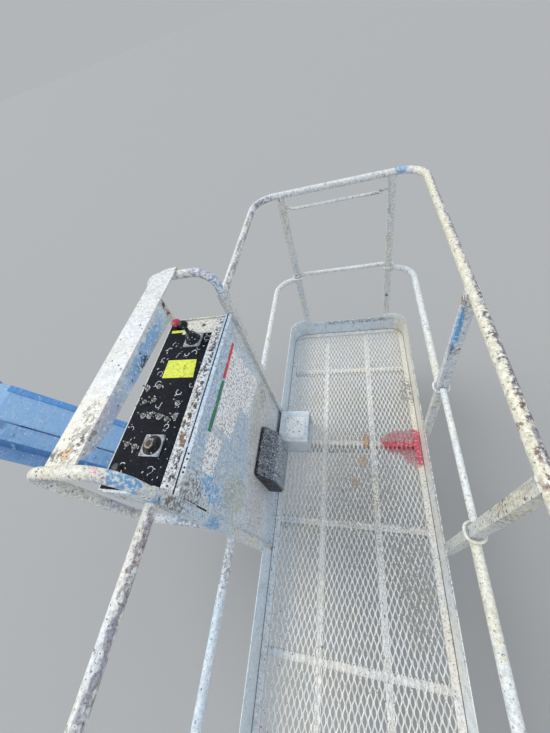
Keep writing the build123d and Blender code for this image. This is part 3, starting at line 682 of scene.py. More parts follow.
# each row: name, colour, colour of worn spots, strength of the grain, shift, roughness, fineness
for name, *amounts in [
        ("white_label", (0.97, 0.97, 0.99), (0.74, 0.80, 0.86), 0.85, 1.0, 0.5, 120.0),
        ("red_label", (0.72, 0.03, 0.03), (0.66, 0.66, 0.66), 0.2, 2.0),
        ("green_label", (0.02, 0.22, 0.10), (0.55, 0.62, 0.62), 0.3, 3.0),
        ("yellow_label", (0.72, 0.80, 0.02), (0.20, 0.22, 0.03), 0.35, 4.0, 0.5, 120.0),
        ("faded_mark", (0.66, 0.70, 0.76), (0.10, 0.10, 0.12), 0.3, 5.0),
        ("red_plastic", (0.48, 0.035, 0.07), (0.66, 0.30, 0.32), 0.1, 6.0, 0.35)]:
    finishes[name] = label(name, *amounts)
finishes["black_strip"] = blackened("black_strip", (0.010, 0.010, 0.012), shift=9.0, speckle=0.2, dust_and_sheen=0.1)
print("labels mixed")

# %% [markdown]
# ## The studio
#
# A plain pale grey floor lies far enough below the platform for every pose, and carries its shadow. A
# bright even sky does most of the lighting, as on a hazy day, and one broad sun from the arm's side adds
# the direction: left faces are brighter and the console's inner side is in a cool shade. The background
# comes through Light Path: the camera and glossy rays see a plain world in the tone of the far floor, and
# other rays see the sky that lights the object. Soft lamps could do it too, but a sky lights every side,
# also in views from behind.

# %% The floor
def plain(name, colour, rough):
    """A calm matt colour that drifts by less than a hundredth."""
    f = Finish(name)
    grain = f.noise(f.place, 3.0, 2.0)
    return f.done(f.mix(grain * 0.06, colour, tuple(0.9 * part for part in colour)), rough)


floor = bpy.data.meshes.new("studio_floor")
reach, floor_z, floor_grey = 150.0, -1.55, (0.357, 0.357, 0.357)
floor.from_pydata([(-reach, -reach, floor_z), (reach, -reach, floor_z), (reach, reach, floor_z),
                   (-reach, reach, floor_z)], [], [(0, 1, 2, 3)])
studio_floor = bpy.data.objects.new("studio_floor", floor)
bpy.context.scene.collection.objects.link(studio_floor)
floor.materials.append(plain("studio_floor", floor_grey, 1.0))
print("floor", -floor_z, "m under the upper pin")

# %% The sun
sun = bpy.data.objects.new("sun", bpy.data.lights.new("sun", "SUN"))
bpy.context.scene.collection.objects.link(sun)
sun_way, sun_strength, sun_width, sun_tint = (0.63, -0.25, -0.73), 1.6, 40, (1.0, 0.97, 0.91)
sun.data.energy = sun_strength
sun.data.angle = math.radians(sun_width)
sun.data.color = sun_tint
sun.rotation_euler = Vector(sun_way).to_track_quat("-Z", "Y").to_euler()
print("sun of", sun_width, "degrees, strength", sun_strength)

# %% The sky, and the background that the camera sees
world = bpy.data.worlds.new("studio")
bpy.context.scene.world = world
world.use_nodes = True
sky = world.node_tree
sky.nodes.clear()
path = sky.nodes.new("ShaderNodeLightPath")
seen = sky.nodes.new("ShaderNodeMath")
seen.operation = "MAXIMUM"
sky.links.new(path.outputs["Is Camera Ray"], seen.inputs[0])
sky.links.new(path.outputs["Is Glossy Ray"], seen.inputs[1])
lit, shown, both = (sky.nodes.new("ShaderNode" + kind) for kind in ("Background", "Background", "MixShader"))
hazy_sky, hazy_strength = (0.88, 0.94, 1.0, 1.0), 0.98
far_floor, far_strength = (0.932, 0.972, 1.0, 1.0), 0.483
lit.inputs["Color"].default_value, lit.inputs["Strength"].default_value = hazy_sky, hazy_strength
shown.inputs["Color"].default_value, shown.inputs["Strength"].default_value = far_floor, far_strength
sky.links.new(seen.outputs[0], both.inputs[0])
sky.links.new(lit.outputs[0], both.inputs[1])
sky.links.new(shown.outputs[0], both.inputs[2])
sky.links.new(both.outputs[0], sky.nodes.new("ShaderNodeOutputWorld").inputs["Surface"])
bpy.context.scene.view_settings.view_transform = "Standard"
print("studio ready")

# %% [markdown]
# ## Surfaces from arrays
#
# Every new piece is a grid of points worked out with numpy: rows along a path, columns round a section.
# One helper turns such a grid into a closed mesh, and another hands the finished mesh to the frame. The
# same pieces could be modelled by hand, but a formula is short, exact and easy to change.

# %% Grids to meshes
def shell(rows, ends=True):
    """A tube of quads from rows of points (rows, columns, 3), closed round its columns, with end caps."""
    count, around = rows.shape[:2]
    i, j = np.meshgrid(np.arange(count - 1), np.arange(around), indexing="ij")
    k = (j + 1) % around
    quads = np.stack([i * around + j, i * around + k, (i + 1) * around + k, (i + 1) * around + j], axis=-1)
    faces = quads.reshape(-1, 4).tolist()
    if ends:
        faces += [list(range(around))[::-1], list(range((count - 1) * around, count * around))]
    return rows.reshape(-1, 3), faces


def joined(parts):
    """Several (points, faces) as one."""
    points, faces, start = [], [], 0
    for some, those in parts:
        points.append(some)
        faces += [[start + index for index in face] for face in those]
        start += len(some)
    return np.concatenate(points), faces


def piece(name, parts, finish, body="platform", smooth=40.0, width=0.0, segments=2):
    """Mesh the parts, turn every face outwards, paint it, and let it ride on a body."""
    points, faces = joined(parts)
    mesh = bpy.data.meshes.new(name)
    mesh.from_pydata(points.tolist(), [], faces)
    work = bmesh.new()
    work.from_mesh(mesh)
    bmesh.ops.remove_doubles(work, verts=work.verts, dist=1e-6)
    bmesh.ops.recalc_face_normals(work, faces=work.faces)
    work.to_mesh(mesh)
    work.free()
    mesh.shade_smooth()
    mesh.set_sharp_from_angle(angle=math.radians(smooth))
    mesh.materials.append(finishes[finish])
    made = bpy.data.objects.new(name, mesh)
    bpy.context.scene.collection.objects.link(made)
    if width:
        bevel = made.modifiers.new("edges", "BEVEL")
        bevel.width, bevel.segments, bevel.limit_method = width, segments, "ANGLE"
        bevel.angle_limit = math.radians(30)
    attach(made, body)
    print(f"{name}: {len(mesh.polygons)} faces")
    return made


print("grids can be meshed")

# %% [markdown]
# ## The expanded mesh
#
# Expanded metal is one sheet that was slit and pulled open: zigzag strands that touch where they bend.
# So the floor is a row of zigzag lines across the platform, each the mirror image of the next. A line is
# a wave along Y with short straight bonds at its crests, and a flat section, tipped a little, is carried
# along it. That gives the diamonds their light and dark sides, which holes cut into a flat sheet lack.

# %% Make the floor mesh
mesh_pitch, strand_size, strand_depth = (0.025, 0.057), (0.0052, 0.0036), 0.0030


def zigzag(index, half_x, half_y, corner, pitch=mesh_pitch, strand=strand_size, bond=0.20):
    """Line number index: x = a triangle wave of y with flat crests, clipped to a rounded rectangle."""
    x0 = index * pitch[0] / 2
    swing = pitch[0] / 4 - strand[0] / 2 + 0.0003
    side = 1 if index % 2 else -1
    depth = max(0.0, abs(x0) - (half_x - corner))
    limit = half_y - corner + math.sqrt(max(corner ** 2 - depth ** 2, 0.0)) + 0.002
    phases = np.array([0.0, bond, 0.5, 0.5 + bond])
    turns = np.arange(-math.ceil(half_y / pitch[1]) - 1, math.ceil(half_y / pitch[1]) + 2)
    y = ((turns[:, None] + phases[None, :]) * pitch[1]).reshape(-1)
    x = np.tile(np.array([1.0, 1.0, -1.0, -1.0]) * side * swing, len(turns)) + x0
    inside = np.flatnonzero(np.abs(y) < limit)
    y, x = y[inside[0]:inside[-1] + 1], x[inside[0]:inside[-1] + 1]
    y[0], y[-1] = -limit, limit
    tip = 0.35 * side
    square = np.array([(-1, -1), (1, -1), (1, 1), (-1, 1)]) * np.array(strand) / 2
    section = square @ np.array([[math.cos(tip), math.sin(tip)], [-math.sin(tip), math.cos(tip)]])
    rows = np.zeros((len(y), 4, 3))
    rows[:, :, 0] = x[:, None] + section[None, :, 0]
    rows[:, :, 1] = y[:, None]
    rows[:, :, 2] = section[None, :, 1] - strand_depth
    return shell(rows + origin)


half_x, half_y = (mesh_high.x - mesh_low.x) / 2, (mesh_high.y - mesh_low.y) / 2
count = int(half_x / (mesh_pitch[0] / 2))
strands = piece("mesh_strands", [zigzag(k, half_x, half_y, 0.057) for k in range(-count, count + 1)],
                "mesh")
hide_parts("floor_mesh")

# %% [markdown]
# ## The sliding bars
#
# Between the posts of each entry hangs a loose bar, which slides up to open the entry. It is a round bar
# with a loop of wire at each end, welded on, that runs up and down the post. In CAD the loops are plain
# rings to keep the facets few; here they are round wire again, carried along a rounded square. They could
# be curve objects with a bevel, but a tube of arrays is a mesh at once and serves the weld beads too.

# %% Outlines, and tubes along them
def rounded(half, corner, centre=(0.0, 0.0), steps=5):
    """A rounded rectangle as an outline: four quarter circles, joined by the straight sides."""
    angle = np.linspace(0, math.pi / 2, steps)
    corners = []
    for turn, (sx, sy) in enumerate(((1, 1), (-1, 1), (-1, -1), (1, -1))):
        a = angle + turn * math.pi / 2
        corners.append(np.column_stack([np.cos(a) * corner + sx * (half[0] - corner),
                                        np.sin(a) * corner + sy * (half[1] - corner)]))
    return np.concatenate(corners) + np.array(centre)


def tube(path, radius, normal, around=12, closed=False):
    """A circle carried along a path: its axes are a fixed normal and the side across the path."""
    path = np.asarray(path, float)
    if closed:
        along = np.roll(path, -1, axis=0) - np.roll(path, 1, axis=0)
    else:
        along = np.gradient(path, axis=0)
    normal = np.asarray(normal, float)
    side = np.cross(along, normal)
    side /= np.linalg.norm(side, axis=1, keepdims=True)
    angle = np.linspace(0, 2 * math.pi, around, endpoint=False)
    radius = np.asarray(radius, float).reshape(-1, 1, 1)
    rows = path[:, None] + radius * (np.cos(angle)[None, :, None] * normal
                                     + np.sin(angle)[None, :, None] * side[:, None])
    if closed:
        return shell(np.concatenate([rows, rows[:1]]), ends=False)
    return shell(rows)


print("outlines and tubes can be drawn")

# %% Make the sliding bars
bar_r, wire_r, loop_drop, bar_inset = 0.013, 0.0055, 0.016, 0.026
# from the mid rail's top: 0.3 mm of play, the CAD ring's height, and the bar let 3 mm into the ring
bar_z = mid_z + rail_r + 0.0003 + 0.012 + bar_r - 0.003
end_x, entry_y = 0.295, (-0.314, 0.270)


def wire_loop(centre, half=0.031, corner=0.026):
    """A closed wire in the plane of Z, along a rounded square."""
    flat = rounded((half, half), corner, centre[:2], 8)
    return tube(np.column_stack([flat, np.full(len(flat), centre[2])]) + origin, wire_r, (0, 0, 1), 10, True)


for name, body, first, last in (
        ("slide_bar_far", "far_bar", (-end_x, rail_y), (end_x, rail_y)),
        ("slide_bar_near", "near_bar", (-end_x, -rail_y), (end_x, -rail_y)),
        ("slide_bar_side", "side_bar", (rail_x, entry_y[0]), (rail_x, entry_y[1]))):
    first, last = np.array([*first, bar_z]), np.array([*last, bar_z])
    way = (last - first) / np.linalg.norm(last - first)
    run = np.linspace(first + way * bar_inset, last - way * bar_inset, 9)
    parts = [tube(run + origin, bar_r, (0, 0, 1), 16)]
    for end in (first, last):
        parts.append(wire_loop(end + np.array([0, 0, -loop_drop])))
    bar = piece(name + "_bar", parts, "mid_rails", body)
    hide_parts(name)

# %% [markdown]
# ## Weld beads
#
# A weld is a row of small puddles, so a bead is a thin tube whose radius swells and shrinks along it.
# Beads go round each joint of rail and post, and up both sides of a post where it meets the toe board.
# They could be a bump in the paint, but the outline of a joint is what makes it look welded.

# %% A bead along any path
def bead(path, size, normal, closed=False, pitch=0.0045):
    """A tube with r(s) = size (1 + 0.22 sin(2 pi s / pitch) + 0.12 sin(311 s)), with s the length run."""
    path = np.asarray(path, float)
    ring = np.concatenate([path, path[:1]]) if closed else path
    steps = np.linalg.norm(np.diff(ring, axis=0), axis=1)
    run = np.concatenate([[0.0], np.cumsum(steps)])
    even = np.linspace(0, run[-1], max(8, int(run[-1] / pitch * 3)))
    fine = np.stack([np.interp(even, run, ring[:, axis]) for axis in range(3)], axis=1)
    radius = size * (1 + 0.22 * np.sin(even / pitch * 2 * math.pi) + 0.12 * np.sin(even * 311.0))
    if closed:
        return tube(fine[:-1], radius[:-1], normal, 6, True)
    return tube(fine, radius, normal, 6)


def carried(part, axis=(0, 0, 1), at=(0, 0, 0), spin=0.0):
    """A part drawn about Z, turned so that Z lies along the axis, and moved to a place of the platform."""
    lean = Vector((0, 0, 1)).rotation_difference(Vector(axis)).to_matrix()
    turn = lean @ Matrix.Rotation(spin, 3, "Z")
    points, faces = part
    return points @ np.array(turn).T + origin + np.array(at), faces


def circle(radius, centre, axis, steps=24):
    """Points of a circle about an axis, in the platform's frame."""
    angle = np.linspace(0, 2 * math.pi, steps, endpoint=False)
    flat = np.column_stack([np.cos(angle) * radius, np.sin(angle) * radius, np.zeros(steps)])
    return carried((flat, None), axis, centre)[0]


def under_rail(x, y, along_x):
    """A loop round a square post that climbs with the rail's underside: z = top - sqrt(r^2 - d^2)."""
    flat = rounded((post_half, post_half), 0.004, (0.0, 0.0), 4)
    flat = np.concatenate([np.linspace(a, b, 5, endpoint=False) for a, b in zip(flat, np.roll(flat, -1, 0))])
    d = np.minimum(np.abs(flat[:, 1 if along_x else 0]), rail_r)
    rise = rail_z - np.sqrt(rail_r ** 2 - d ** 2) * 0.98
    return np.column_stack([flat + np.array([x, y]), rise]) + origin


sample = bead(circle(rail_r, (0, 0, 0), (0, 0, 1)), 0.003, (0, 0, 1), True)
print("a bead round a rail has", len(sample[1]), "faces")

# %% Weld the ends of the bars
corners = [(-1, -1), (-1, 1), (1, -1), (1, 1)]
end_posts = [(sx * end_x, sy * rail_y) for sx, sy in corners]
side_posts = [(rail_x, y) for y in entry_y]
console_y, lower_tube_z, grab_r, grab_drop = 0.394, 0.735, 0.008, 0.072
beads = [bead(under_rail(x, y, True), 0.0030, (0, 0, 1), True) for x, y in end_posts]
beads += [bead(under_rail(x, y, False), 0.0030, (0, 0, 1), True) for x, y in side_posts]
# each row: the radius of a round bar, where it ends on a post, and its direction
bar_ends = [(rail_r, (sx * (end_x + post_half), sy * rail_y, mid_z), (1, 0, 0)) for sx, sy in corners]
bar_ends += [(rail_r, (rail_x, y + side * post_half, mid_z), (0, 1, 0)) for y, side in zip(entry_y, (-1, 1))]
bar_ends += [(rail_r, (-rail_x, side * (console_y + post_half), z), (0, 1, 0))
             for side in (-1, 1) for z in (mid_z, rail_z)]
bar_ends += [(rail_r, (-rail_x - post_half, side * console_y, lower_tube_z), (1, 0, 0)) for side in (-1, 1)]
bar_ends += [(rail_r, (-rail_x, side * console_y, rail_z + rail_r), (0, 0, 1)) for side in (-1, 1)]
bar_ends += [(grab_r, (sx * (end_x - post_half), sy * rail_y, rail_z - grab_drop), (1, 0, 0))
             for sx, sy in corners]
for radius, centre, axis in bar_ends:
    beads.append(bead(circle(radius + 0.001, centre, axis), 0.0028, axis, True))
print(len(beads), "round beads")

# %% Weld the posts to the toe board and the cover
def upright_bead(x, y, low, high, size=0.0026):
    """A straight bead that goes up a post's side."""
    return bead(np.linspace((x, y, low), (x, y, high), 12) + origin, size, (1, 0, 0))


toe_x, toe_y = rail_x - post_half, rail_y - post_half
board_foot, board_end_top, board_side_top, guard_top = -0.044, 0.124, 0.158, 1.2625
for x, y in end_posts:
    beads += [upright_bead(x + side * post_half, math.copysign(toe_y + 0.001, y), board_foot, board_end_top)
              for side in (-1, 1)]
for x, y in side_posts:
    beads += [upright_bead(toe_x + 0.001, y + side * post_half, board_foot, board_side_top)
              for side in (-1, 1)]
for side in (-1, 1):
    beads += [upright_bead(-toe_x + 0.001, side * (console_y - post_half), low, high)
              for low, high in ((0.02, 0.09), (0.30, 0.37), (0.62, 0.69), (0.93, 1.0))]
for y in (-0.3775, 0.3785):
    run = np.linspace((-0.670, y, guard_top), (-0.582, y, guard_top), 10)
    beads.append(bead(run + origin, 0.0035, (0, 0, 1)))
piece("weld_beads", beads, "posts", smooth=60)

# %% [markdown]
# ## The panel's frame and labels
#
# Beside the black panel runs a strip of speckled steel, then a dark seal and the rolled lip of the cover.
# On the panel lie a blank yellow label, a small yellow bar, and pale rings and dashes of worn print
# round the switches. The rings are flat arcs, r(a) = const, and the gap, turn and width of each are drawn
# at random. They could be masks in the panel's paint, but as thin pieces they keep crisp edges however
# near the camera is.

# %% Make the strips beside the panel
def slab(outline, low, high):
    """A flat plate: one outline at two heights, capped."""
    flat = np.asarray(outline, float)
    return shell(np.stack([np.column_stack([flat, np.full(len(flat), z)]) for z in (low, high)]))


panel_z, cover_x = 1.019, -0.437
strip_x, strip_top, lip_x, lip_top = -0.4785, 1.0262, -0.4320, 1.0380
strip = slab(rounded((0.0215, 0.364), 0.003, (strip_x, 0.0)), 1.0202, strip_top)
piece("panel_strip", [carried(strip)], "strip", width=0.0012)
lip = slab(rounded((0.0080, 0.3745), 0.003, (lip_x, 0.0)), 1.0300, lip_top)
piece("cover_lip", [carried(lip)], "console", width=0.0025, segments=3)
seal = slab(rounded((0.0024, 0.3700), 0.001, (-0.4424, 0.0)), 1.0361, 1.0372)
piece("cover_seal", [carried(seal)], "black_strip")

# %% Lay the yellow labels on the panel
film_z = panel_z + 0.0001
label_outline = [(-0.660, 0.056), (-0.663, 0.144), (-0.533, 0.142), (-0.522, 0.055)]
small_bar = slab(rounded((0.030, 0.0075), 0.001, (-0.678, 0.306)), film_z, panel_z + 0.0008)
piece("yellow_plate", [carried(slab(label_outline, film_z, panel_z + 0.0010)), carried(small_bar)],
      "yellow_label")

# %% Scatter the worn print
def arc(centre, radius, width, start, sweep, thick=0.0004, steps=14):
    """A flat bent strip on the panel: a rectangle carried along part of a circle."""
    a = np.linspace(start, start + sweep, steps)
    outer = np.column_stack([np.cos(a), np.sin(a)])
    rows = np.stack([np.column_stack([centre + outer * r, np.full(steps, z)]) for r, z in (
        (radius - width / 2, 0.0), (radius + width / 2, 0.0), (radius + width / 2, thick),
        (radius - width / 2, thick))], axis=1)
    return shell(rows)


# where the switches stand, in millimetres from the panel's outer edge and from its middle
panel_edge = -0.726
toggles = np.array([(17, 11), (68, 18), (32, -50), (69, -43), (178, -56), (50, -107), (81, -107),
                    (121, -110), (155, -121), (184, -111), (35, -217), (69, -226)]) / 1000 + [panel_edge, 0.0]
print_spots = np.array([(-0.680, 0.202), (-0.620, 0.171), (-0.588, 0.174), (-0.557, 0.178), (-0.690, 0.150),
                        (-0.678, 0.078), (-0.666, 0.030), (-0.560, -0.010), (-0.628, -0.066), (-0.516, 0.019),
                        (-0.700, -0.160), (-0.560, -0.150), (-0.674, -0.292), (-0.562, -0.299),
                        (-0.640, -0.330), (-0.520, 0.255), (-0.540, 0.205), (-0.665, 0.232)])
draw = np.random.default_rng(7)
marks = []
for centre in np.concatenate([toggles, print_spots]):
    radius = draw.uniform(0.0085, 0.0125)
    marks.append(arc(centre, radius, draw.uniform(0.0014, 0.0028), draw.uniform(0, 6.3),
                     draw.uniform(2.2, 5.0)))
    for _ in range(2):
        angle, turn = draw.uniform(0, 6.3), draw.uniform(0, 3.1)
        at = centre + np.array([math.cos(angle), math.sin(angle)]) * draw.uniform(0.014, 0.019)
        way = np.array([math.cos(turn), math.sin(turn)]) * draw.uniform(0.002, 0.005)
        side = np.array([-way[1], way[0]]) * 0.3
        marks.append(slab([at - way - side, at + way - side, at + way + side, at - way + side], 0.0, 0.0004))
piece("worn_print", [carried(mark, at=(0, 0, film_z)) for mark in marks], "faded_mark")

# %% [markdown]
# ## Switches, joysticks and the stop button
#
# A toggle is a hexagon nut, a threaded collar and a bat-shaped lever that leans one way. A joystick is a
# square plate, a rubber bellows and a stem with a ball; the nearer one has lost its stick and its boot is
# torn. Apart from the plates and the torn rubber, all are profiles turned about an axis, so each is one
# short table of radius and height. Ready-made cylinders could stand in, but they lack the chamfers that
# catch the light.

# %% Make the toggles
def turned(profile, around=24):
    """A profile of (radius, height) turned about Z: x = r cos a, y = r sin a, z = height."""
    profile = np.asarray(profile, float)
    angle = np.linspace(0, 2 * math.pi, around, endpoint=False)
    return shell(np.stack([profile[:, :1] * np.cos(angle), profile[:, :1] * np.sin(angle),
                           np.repeat(profile[:, 1:], around, axis=1)], axis=-1))


def hexagon(across, low, high):
    """A nut with a chamfered top: a six-sided turned profile, whose radius is the corner's."""
    r = across / math.sqrt(3)
    return turned([(r, low), (r, high - 0.001), (r * 0.88, high)], around=6)


lever_profile = [(0.0018, 0.0), (0.0020, 0.006), (0.0030, 0.014), (0.0034, 0.0165), (0.0026, 0.0185),
                 (0.0008, 0.0192)]
washer_profile = [(0.0095, 0.0), (0.0095, 0.0009), (0.0070, 0.0012)]
collar_profile = [(0.0042, 0.004), (0.0042, 0.0075), (0.0034, 0.0085)]
nuts, levers = [], []
for x, y in toggles:
    at = (x, y, panel_z)
    nuts += [carried(hexagon(0.014, 0.0, 0.0045), at=at, spin=draw.uniform(0, 1.0)),
             carried(turned(washer_profile, around=20), at=at),
             carried(turned(collar_profile, around=14), at=at)]
    lean = np.array([draw.choice([-0.25, 0.25]), draw.uniform(-0.05, 0.05), 1.0])
    levers.append(carried(turned(lever_profile, around=12), axis=lean, at=(x, y, panel_z + 0.0065)))
toggle_switches = piece("toggle_switches", nuts + levers, "plated", smooth=35)
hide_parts("switches")

# %% Make the joysticks
def bellows(low, high, wide, narrow, folds):
    """A rubber boot: r falls from wide to narrow along z and ripples folds times."""
    t = np.linspace(0, 1, folds * 8 + 1)
    radius = wide + (narrow - wide) * t ** 0.8 + 0.0022 * np.sin(t * folds * 2 * math.pi)
    return np.column_stack([radius, low + (high - low) * t])


sticks = [(-0.580, 0.248, True), (-0.585, -0.220, False)]
plate_screw = [(0.0042, 0.006), (0.0042, 0.0078), (0.0030, 0.0088)]
stem_profile = [(0.0110, 0.040), (0.0080, 0.052), (0.0075, 0.079)]
a = np.linspace(-1.15, 1.5, 14)
ball_profile = np.column_stack([0.0180 * np.cos(a), 0.0935 + 0.0165 * np.sin(a)])
plates, boots = [], []
for x, y, whole in sticks:
    at = (x, y, panel_z)
    plates.append(carried(slab(rounded((0.038, 0.038), 0.004), 0.0001, 0.0060), at=at))
    plates += [carried(turned(plate_screw, around=14), at=(x + sx * 0.031, y + sy * 0.031, panel_z))
               for sx, sy in corners]
    if whole:
        boots.append(carried(turned(bellows(0.006, 0.042, 0.0330, 0.0180, 3), around=32), at=at))
        boots.append(carried(turned(stem_profile, around=16), at=at))
        boots.append(carried(turned(ball_profile, around=28), at=at))
    else:
        boots.append(carried(turned(bellows(0.006, 0.024, 0.0340, 0.0190, 2), around=32), at=at))
joystick_boots = piece("joystick_boots", boots, "rubber", smooth=50)
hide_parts("joysticks")
piece("joystick_plates", plates, "grey_plate", width=0.0008)

# %% Tear the nearer boot
torn = np.random.default_rng(3)
a = np.linspace(0, 2 * math.pi, 18, endpoint=False)
rim = 0.0175 + torn.uniform(-0.004, 0.004, len(a))
crater = [np.column_stack([np.cos(a) * rim * s, np.sin(a) * rim * s, np.full(len(a), z)])
          for s, z in ((1.1, 0.0235), (1.0, 0.0268), (0.75, 0.0255), (0.45, 0.0215), (0.15, 0.0205))]
stump = shell(np.stack(crater))
finishes["torn_core"] = coated("torn_core", (0.22, 0.10, 0.06), (0.45, 0.40, 0.38), dust=0.6, shift=7.0)
piece("torn_boot_core", [carried(stump, at=(*sticks[1][:2], panel_z))], "torn_core")

# %% Make the stop button and the knob
stop_at = (-0.692, 0.345, panel_z)
a = np.linspace(0.15, math.pi / 2, 8)
dome = np.column_stack([0.0210 * np.cos(a) ** 0.6, 0.0205 + 0.0095 * np.sin(a)])
head = np.concatenate([[(0.0120, 0.0125), (0.0195, 0.0135), (0.0212, 0.0165)], dome])
button = piece("stop_button_head", [carried(turned(head, around=36), at=stop_at)],
               "red_plastic", smooth=50)
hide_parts("stop_button")
collar = turned([(0.0165, 0.0), (0.0165, 0.004), (0.0125, 0.006), (0.0125, 0.0135)], around=28)
piece("stop_button_collar", [carried(collar, at=stop_at)], "rubber")
knob = turned([(0.0150, 0.0), (0.0145, 0.010), (0.0120, 0.012)])
piece("rotary_knob", [carried(knob, at=(-0.690, -0.300, panel_z))], "rubber", smooth=30)

# %% [markdown]
# ## Labels on the cover
#
# The inner side of the console carries a large and a small white label, and a red and a green bar above
# them. They could be masks in the cover's paint. Here they are thin sheets on the plate, 0.5 mm thick, so
# that they show an edge where they end.

# %% Make the cover's labels
def on_cover(outline, thick=0.0005):
    """A sheet on the cover: an outline in (y, z), laid a hair off the plate and facing the platform."""
    flat = np.asarray(outline, float)
    rows = np.stack([np.column_stack([np.full(len(flat), cover_x + x), flat]) for x in (0.0001, thick)])
    points, faces = shell(rows)
    return points + origin, faces


large_label = [(0.262, 0.930), (0.318, 0.590), (0.092, 0.622), (0.078, 0.734), (-0.082, 0.760),
               (-0.092, 0.918), (0.085, 0.925)]
small_label = [(-0.128, 0.940), (-0.119, 0.829), (-0.262, 0.837), (-0.264, 0.925)]
red_outline = [(0.278, 0.952), (0.290, 0.934), (0.107, 0.930), (0.095, 0.950)]
green_outline = [(0.085, 0.950), (0.093, 0.928), (-0.130, 0.930), (-0.133, 0.955)]
piece("white_labels", [on_cover(large_label), on_cover(small_label)], "white_label")
piece("red_bar", [on_cover(red_outline, 0.0007)], "red_label")
piece("green_bar", [on_cover(green_outline, 0.0007)], "green_label")
# The slot and the four holes are black sheets: painted shade of their openings.
slot_shade = on_cover([(-0.366, 0.965), (-0.366, 0.820), (-0.371, 0.820), (-0.371, 0.965)], 0.0006)
hole_shades = [carried(turned([(0.0035, 0.0), (0.0035, 0.0008)], around=14), at=(-0.430, y, lip_top))
         for y in (-0.249, -0.266, -0.292, -0.306)]
piece("slot_and_hole_shades", [slot_shade] + hole_shades, "black_strip")

# %% [markdown]
# ## The document box
#
# The black box under the console is a moulding, rounded everywhere, with two low ribs round it. Its side
# outline is the CAD's with round corners, and a little larger, to make up for what the rounding takes
# off. It shrinks towards both ends as a quarter circle does, inset = R (1 - sqrt(1 - u^2)), which is what
# a mould's draft and radius look like. A bevel on the CAD's box would be quicker, but it keeps the edges
# between the bevels hard.

# %% Make the document box
def eased(points, radius, steps=5):
    """Round each corner of an outline by a curve, (1 - t)^2 start + 2 t (1 - t) corner + t^2 end."""
    points = np.asarray(points, float)
    curves = []
    for before, corner, after in zip(np.roll(points, 1, 0), points, np.roll(points, -1, 0)):
        start = corner + (before - corner) * min(0.45, radius / np.linalg.norm(before - corner))
        end = corner + (after - corner) * min(0.45, radius / np.linalg.norm(after - corner))
        t = np.linspace(0, 1, steps)[:, None]
        curves.append((1 - t) ** 2 * start + 2 * t * (1 - t) * corner + t ** 2 * end)
    return np.concatenate(curves)


depth, height, foot, box_swell = 0.086, 0.320, 0.100, 1.035
side_view = eased([(0.0, foot), (depth * 0.8, foot), (depth, foot + 0.04), (depth, foot + height * 0.7),
                   (depth * 0.25, foot + height), (0.0, foot + height)], 0.022)


def moulding(y_low, y_high, swell, radius=0.020):
    """The side outline carried along Y, smaller by a quarter circle's inset near both ends."""
    half, middle = (y_high - y_low) / 2, (y_low + y_high) / 2
    t = np.sin(np.linspace(-1, 1, 25) * math.pi / 2) * half
    u = np.clip((np.abs(t) - (half - radius)) / radius, 0, 1)
    shrink = swell - radius * (1 - np.sqrt(1 - 0.999 * u ** 2)) / (height / 2)
    middle_z = foot + height / 2
    rows = np.stack([cover_x + side_view[None, :, 0] * shrink[:, None],
                     np.repeat(t[:, None] + middle, len(side_view), axis=1),
                     middle_z + (side_view[None, :, 1] - middle_z) * shrink[:, None]], axis=-1)
    return shell(rows + origin)


box = piece("document_box", [moulding(-0.119, 0.142, box_swell)], "box", smooth=50)
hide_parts("document_holder")
front = side_view[side_view[:, 0] > 0.001]
rib_z = foot + height / 2 + (front[:, 1] - foot - height / 2) * box_swell
rib = np.column_stack([cover_x + front[:, 0] * box_swell, np.full(len(front), 0.010), rib_z]) + origin
piece("document_box_ribs", [bead(rib + np.array([0, shift, 0]), 0.0022, (0, 1, 0), pitch=0.05)
                            for shift in (-0.085, 0.085)], "box")

# %% [markdown]
# ## The foot switch
#
# A grey box with a hood over its pedal. The CAD has its shape; what is missing is the bolted plate on
# top, its screws, and the grip ribs on the pedal. The ribs could be a bump in the rubber, but in the
# hood's shade only a real edge shows.

# %% Dress the foot switch
plate_top = 0.1585
top_plate = slab(rounded((0.062, 0.070), 0.006, (-0.318, 0.262)), 0.1561, plate_top)
piece("foot_switch_plate", [carried(top_plate)], "toe", width=0.0008)
lid_screw = turned([(0.0045, 0.0), (0.0045, 0.0016), (0.0030, 0.0024)], around=16)
screws = [carried(lid_screw, at=(x, y, plate_top))
          for x, y in ((-0.300, 0.297), (-0.322, 0.228), (-0.285, 0.232), (-0.365, 0.320))]
pedal_at, pedal_tilt = np.array([-0.313, 0.270, 0.042]), math.radians(14)
ribs = []
for step in np.linspace(-0.052, 0.052, 9):
    x, z = step * math.cos(pedal_tilt), -step * math.sin(pedal_tilt) + 0.0046
    rib = np.linspace((x, -0.078, z), (x, 0.078, z), 4) + pedal_at + origin
    ribs.append(tube(rib, 0.0022, (0, 0, 1), 6))
piece("pedal_ribs", ribs, "rubber")

# %% [markdown]
# ## Bolts
#
# A bolt head is a six-sided turned profile on a washer, set on its axis. Lists say where they stand: on
# the brackets and the panel of the console, on the plate between rotator and platform, round the covers
# of the rotator and on the pin caps. Each list becomes one mesh. Copies of one bolt would do as well, but
# here every head is turned its own way, and the bolts of one body are one piece that moves with it.

# %% Set the bolts and screws of the console
def bolt(at, axis=(0, 0, 1), across=0.013):
    """A washer and a hexagon head with a chamfer."""
    washer = turned([(across * 0.80, 0.0), (across * 0.80, 0.0016), (across * 0.70, 0.0018)], around=20)
    head = turned([(across * 0.577, 0.0016), (across * 0.577, across * 0.48), (across * 0.48, across * 0.56)],
                  around=6)
    return [carried(washer, axis, at), carried(head, axis, at, spin=at[0] * 40.0)]


